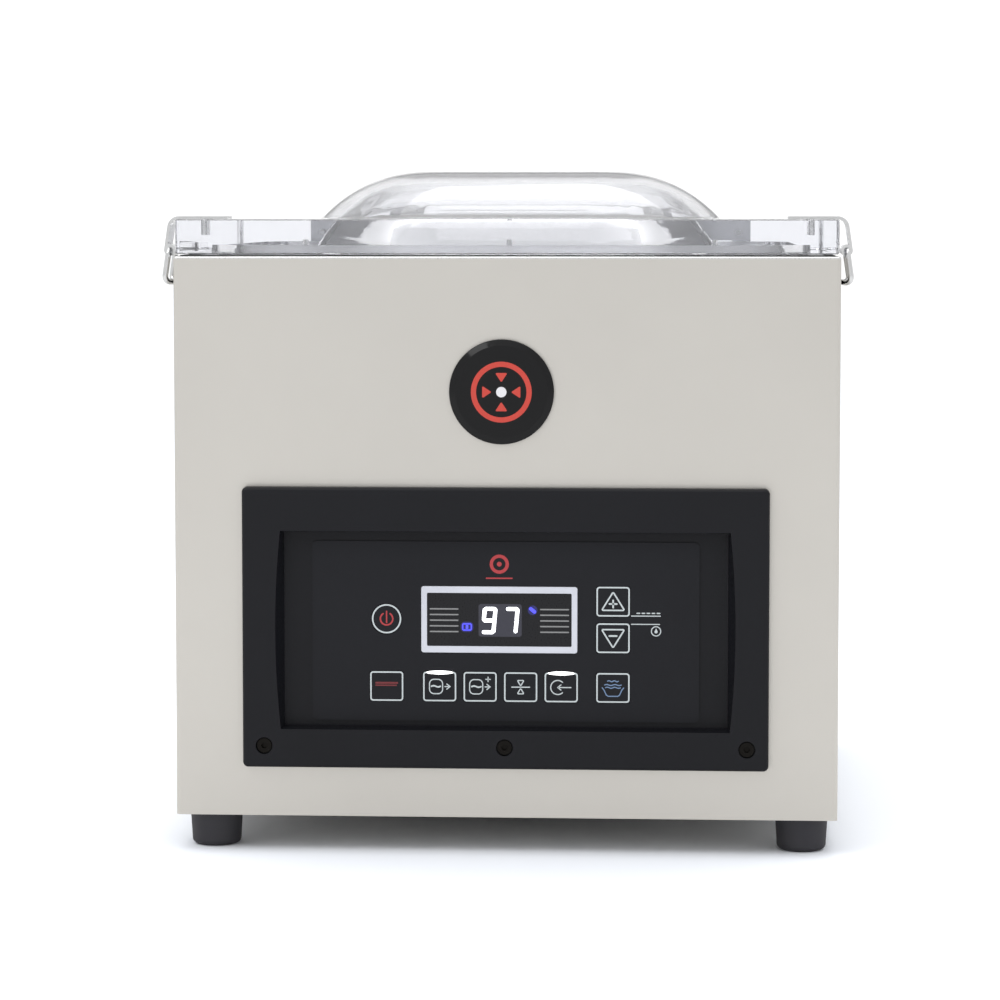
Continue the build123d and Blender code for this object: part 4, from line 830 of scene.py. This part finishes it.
def inlet_blades():
    """The three pins inside the mains inlet."""
    low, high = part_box("power_inlet")
    cx, cz = (low.x + high.x) / 2, (low.z + high.z) / 2
    for name, dx, dz in (("live", -7.0, -2.0), ("neutral", 7.0, -2.0), ("earth", 0.0, 2.0)):
        profile = box_outline(cx + dx * MM, cz + dz * MM, PIN_W, PIN_H, 0.5 * MM)
        verts = [(x, high.y - PIN_ROOT, z) for x, z in profile]
        verts += [(x, high.y - PIN_SHOULDER, z) for x, z in profile]
        tip = box_outline(cx + dx * MM, cz + dz * MM, 1.2 * MM, 3.0 * MM, 0.3 * MM)
        verts += [(x, high.y - PIN_TIP, z) for x, z in tip]
        n = len(profile)
        faces = [tuple(range(n)), tuple(range(2 * n, 3 * n))]
        for level in (0, n):
            for i in range(n):
                j = (i + 1) % n
                faces.append((level + i, level + j, level + n + j, level + n + i))
        pin = new_piece("inlet_" + name, verts, faces, MATERIALS["brass"], "machine")
        outward(pin)


painted_gap_shadow()
inlet_blades()


# ---- Floor, lights and camera ---------------------------------------------
# Strengths of the studio round the machine, and the direction of the backdrop's middle.
SKY_FRONT = 0.88
SKY_SIDE = 0.95
SKY_FLAG = 0.55
SKY_BACK = 1.12
SKY_TOP = 0.75
BACKDROP_WAY = (-0.058, 0.998, 0.0)
FLAGGED = 0.75  # the floor's tone in mirror images
FLOOR_HALF = 14.0
FLOOR_DROP = 0.3 * MM
CAMERA_X = 0.108
CAMERA_BACK = 1.9
CAMERA_Z = 0.372
CAMERA_DOWN = 4.11
CAMERA_TURN = 3.33
CAMERA_LENS = 119.8
CAMERA_SHIFT = -0.05


def mapped(tree, value, low, high, start, end):
    """A smooth step between two values as an input goes from start to end."""
    ramp = tree.nodes.new("ShaderNodeMapRange")
    ramp.interpolation_type = "SMOOTHSTEP"
    ramp.inputs["From Min"].default_value = start
    ramp.inputs["From Max"].default_value = end
    ramp.inputs["To Min"].default_value = low
    ramp.inputs["To Max"].default_value = high
    tree.links.new(value, ramp.inputs["Value"])
    return ramp.outputs["Result"]


def floor():
    """White paper sweep; its mirror image in the steel is toned down, as a studio flag does."""
    look = Look("floor_paper", (0.93, 0.93, 0.94), 0.8)
    fibre = look.noise(160, (1, 1, 1), 4.0)
    look.bump(fibre, 0.02, 0.15)
    look.set("Specular IOR Level", 0.0)
    tree = look.tree
    path = tree.nodes.new("ShaderNodeLightPath")
    tone = tree.nodes.new("ShaderNodeMix")
    tone.data_type = "RGBA"
    tone.inputs["A"].default_value = (0.9, 0.93, 0.985, 1.0)
    tone.inputs["B"].default_value = (FLAGGED, FLAGGED, FLAGGED, 1.0)
    tree.links.new(path.outputs["Is Glossy Ray"], tone.inputs["Factor"])
    tree.links.new(tone.outputs["Result"], look.shader.inputs["Base Color"])
    mesh = bpy.data.meshes.new("floor")
    z = cad_box[0].z - FLOOR_DROP
    corners = [(x * FLOOR_HALF, y * FLOOR_HALF, z) for x, y in ((-1, -1), (1, -1), (1, 1), (-1, 1))]
    mesh.from_pydata(corners, [], [(0, 1, 2, 3)])
    plane = bpy.data.objects.new("floor", mesh)
    plane.data.materials.append(look.material)
    scene.collection.objects.link(plane)


def sky():
    """Studio dome: a lit backdrop, darker flags round it that draw the clear lid's edges, soft sides."""
    world = bpy.data.worlds.new("studio")
    scene.world = world
    world.use_nodes = True
    tree = world.node_tree
    background = tree.nodes["Background"]
    place = tree.nodes.new("ShaderNodeTexCoord")
    split = tree.nodes.new("ShaderNodeSeparateXYZ")
    tree.links.new(place.outputs["Generated"], split.inputs["Vector"])
    turn = tree.nodes.new("ShaderNodeVectorMath")
    turn.operation = "DOT_PRODUCT"
    turn.inputs[1].default_value = BACKDROP_WAY
    tree.links.new(place.outputs["Generated"], turn.inputs[0])
    along = turn.outputs["Value"]
    levels = [
        mapped(tree, along, SKY_FRONT, SKY_SIDE, -0.75, -0.1),
        mapped(tree, along, 0.0, SKY_FLAG - SKY_SIDE, 0.91, 0.945),
        mapped(tree, along, 0.0, SKY_BACK - SKY_FLAG, 0.965, 0.975),
        mapped(tree, split.outputs["Z"], 0.0, SKY_TOP, 0.55, 0.95),
    ]
    total = levels[0]
    for level in levels[1:]:
        both = tree.nodes.new("ShaderNodeMath")
        both.operation = "ADD"
        tree.links.new(total, both.inputs[0])
        tree.links.new(level, both.inputs[1])
        total = both.outputs["Value"]
    path = tree.nodes.new("ShaderNodeLightPath")
    mix = tree.nodes.new("ShaderNodeMix")
    mix.inputs["B"].default_value = SKY_BACK
    tree.links.new(path.outputs["Is Camera Ray"], mix.inputs["Factor"])
    tree.links.new(total, mix.inputs["A"])
    background.inputs["Color"].default_value = (1.0, 1.0, 1.0, 1.0)
    tree.links.new(mix.outputs["Result"], background.inputs["Strength"])


def softbox(name, place, target, size, power):
    """Rectangular lamp that faces a target."""
    light = bpy.data.lights.new(name, "AREA")
    light.shape = "RECTANGLE"
    light.size, light.size_y = size
    light.energy = power
    lamp = bpy.data.objects.new(name, light)
    lamp.location = place
    lamp.rotation_euler = (Vector(target) - Vector(place)).to_track_quat("-Z", "Y").to_euler()
    scene.collection.objects.link(lamp)


def camera():
    """View of the front from just over the lid's height, a little right of centre."""
    data = bpy.data.cameras.new("camera")
    data.sensor_width = 36.0
    data.lens = CAMERA_LENS
    data.shift_y = CAMERA_SHIFT
    lens = bpy.data.objects.new("camera", data)
    lens.location = (CAMERA_X, cad_box[0].y - CAMERA_BACK, CAMERA_Z)
    lens.rotation_euler = (math.radians(90 - CAMERA_DOWN), 0, math.radians(CAMERA_TURN))
    scene.collection.objects.link(lens)
    scene.camera = lens


floor()
sky()
softbox("key_softbox", (-1.3, -1.6, 2.0), (0, 0, 0.2), (1.4, 1.0), 14)
softbox("top_softbox", (0.2, 0.3, 2.4), (0, 0, 0.3), (1.8, 1.8), 15)
camera()
scene.view_settings.view_transform = "Standard"
scene.cycles.max_bounces = 40
scene.cycles.transmission_bounces = 32
scene.cycles.transparent_max_bounces = 32
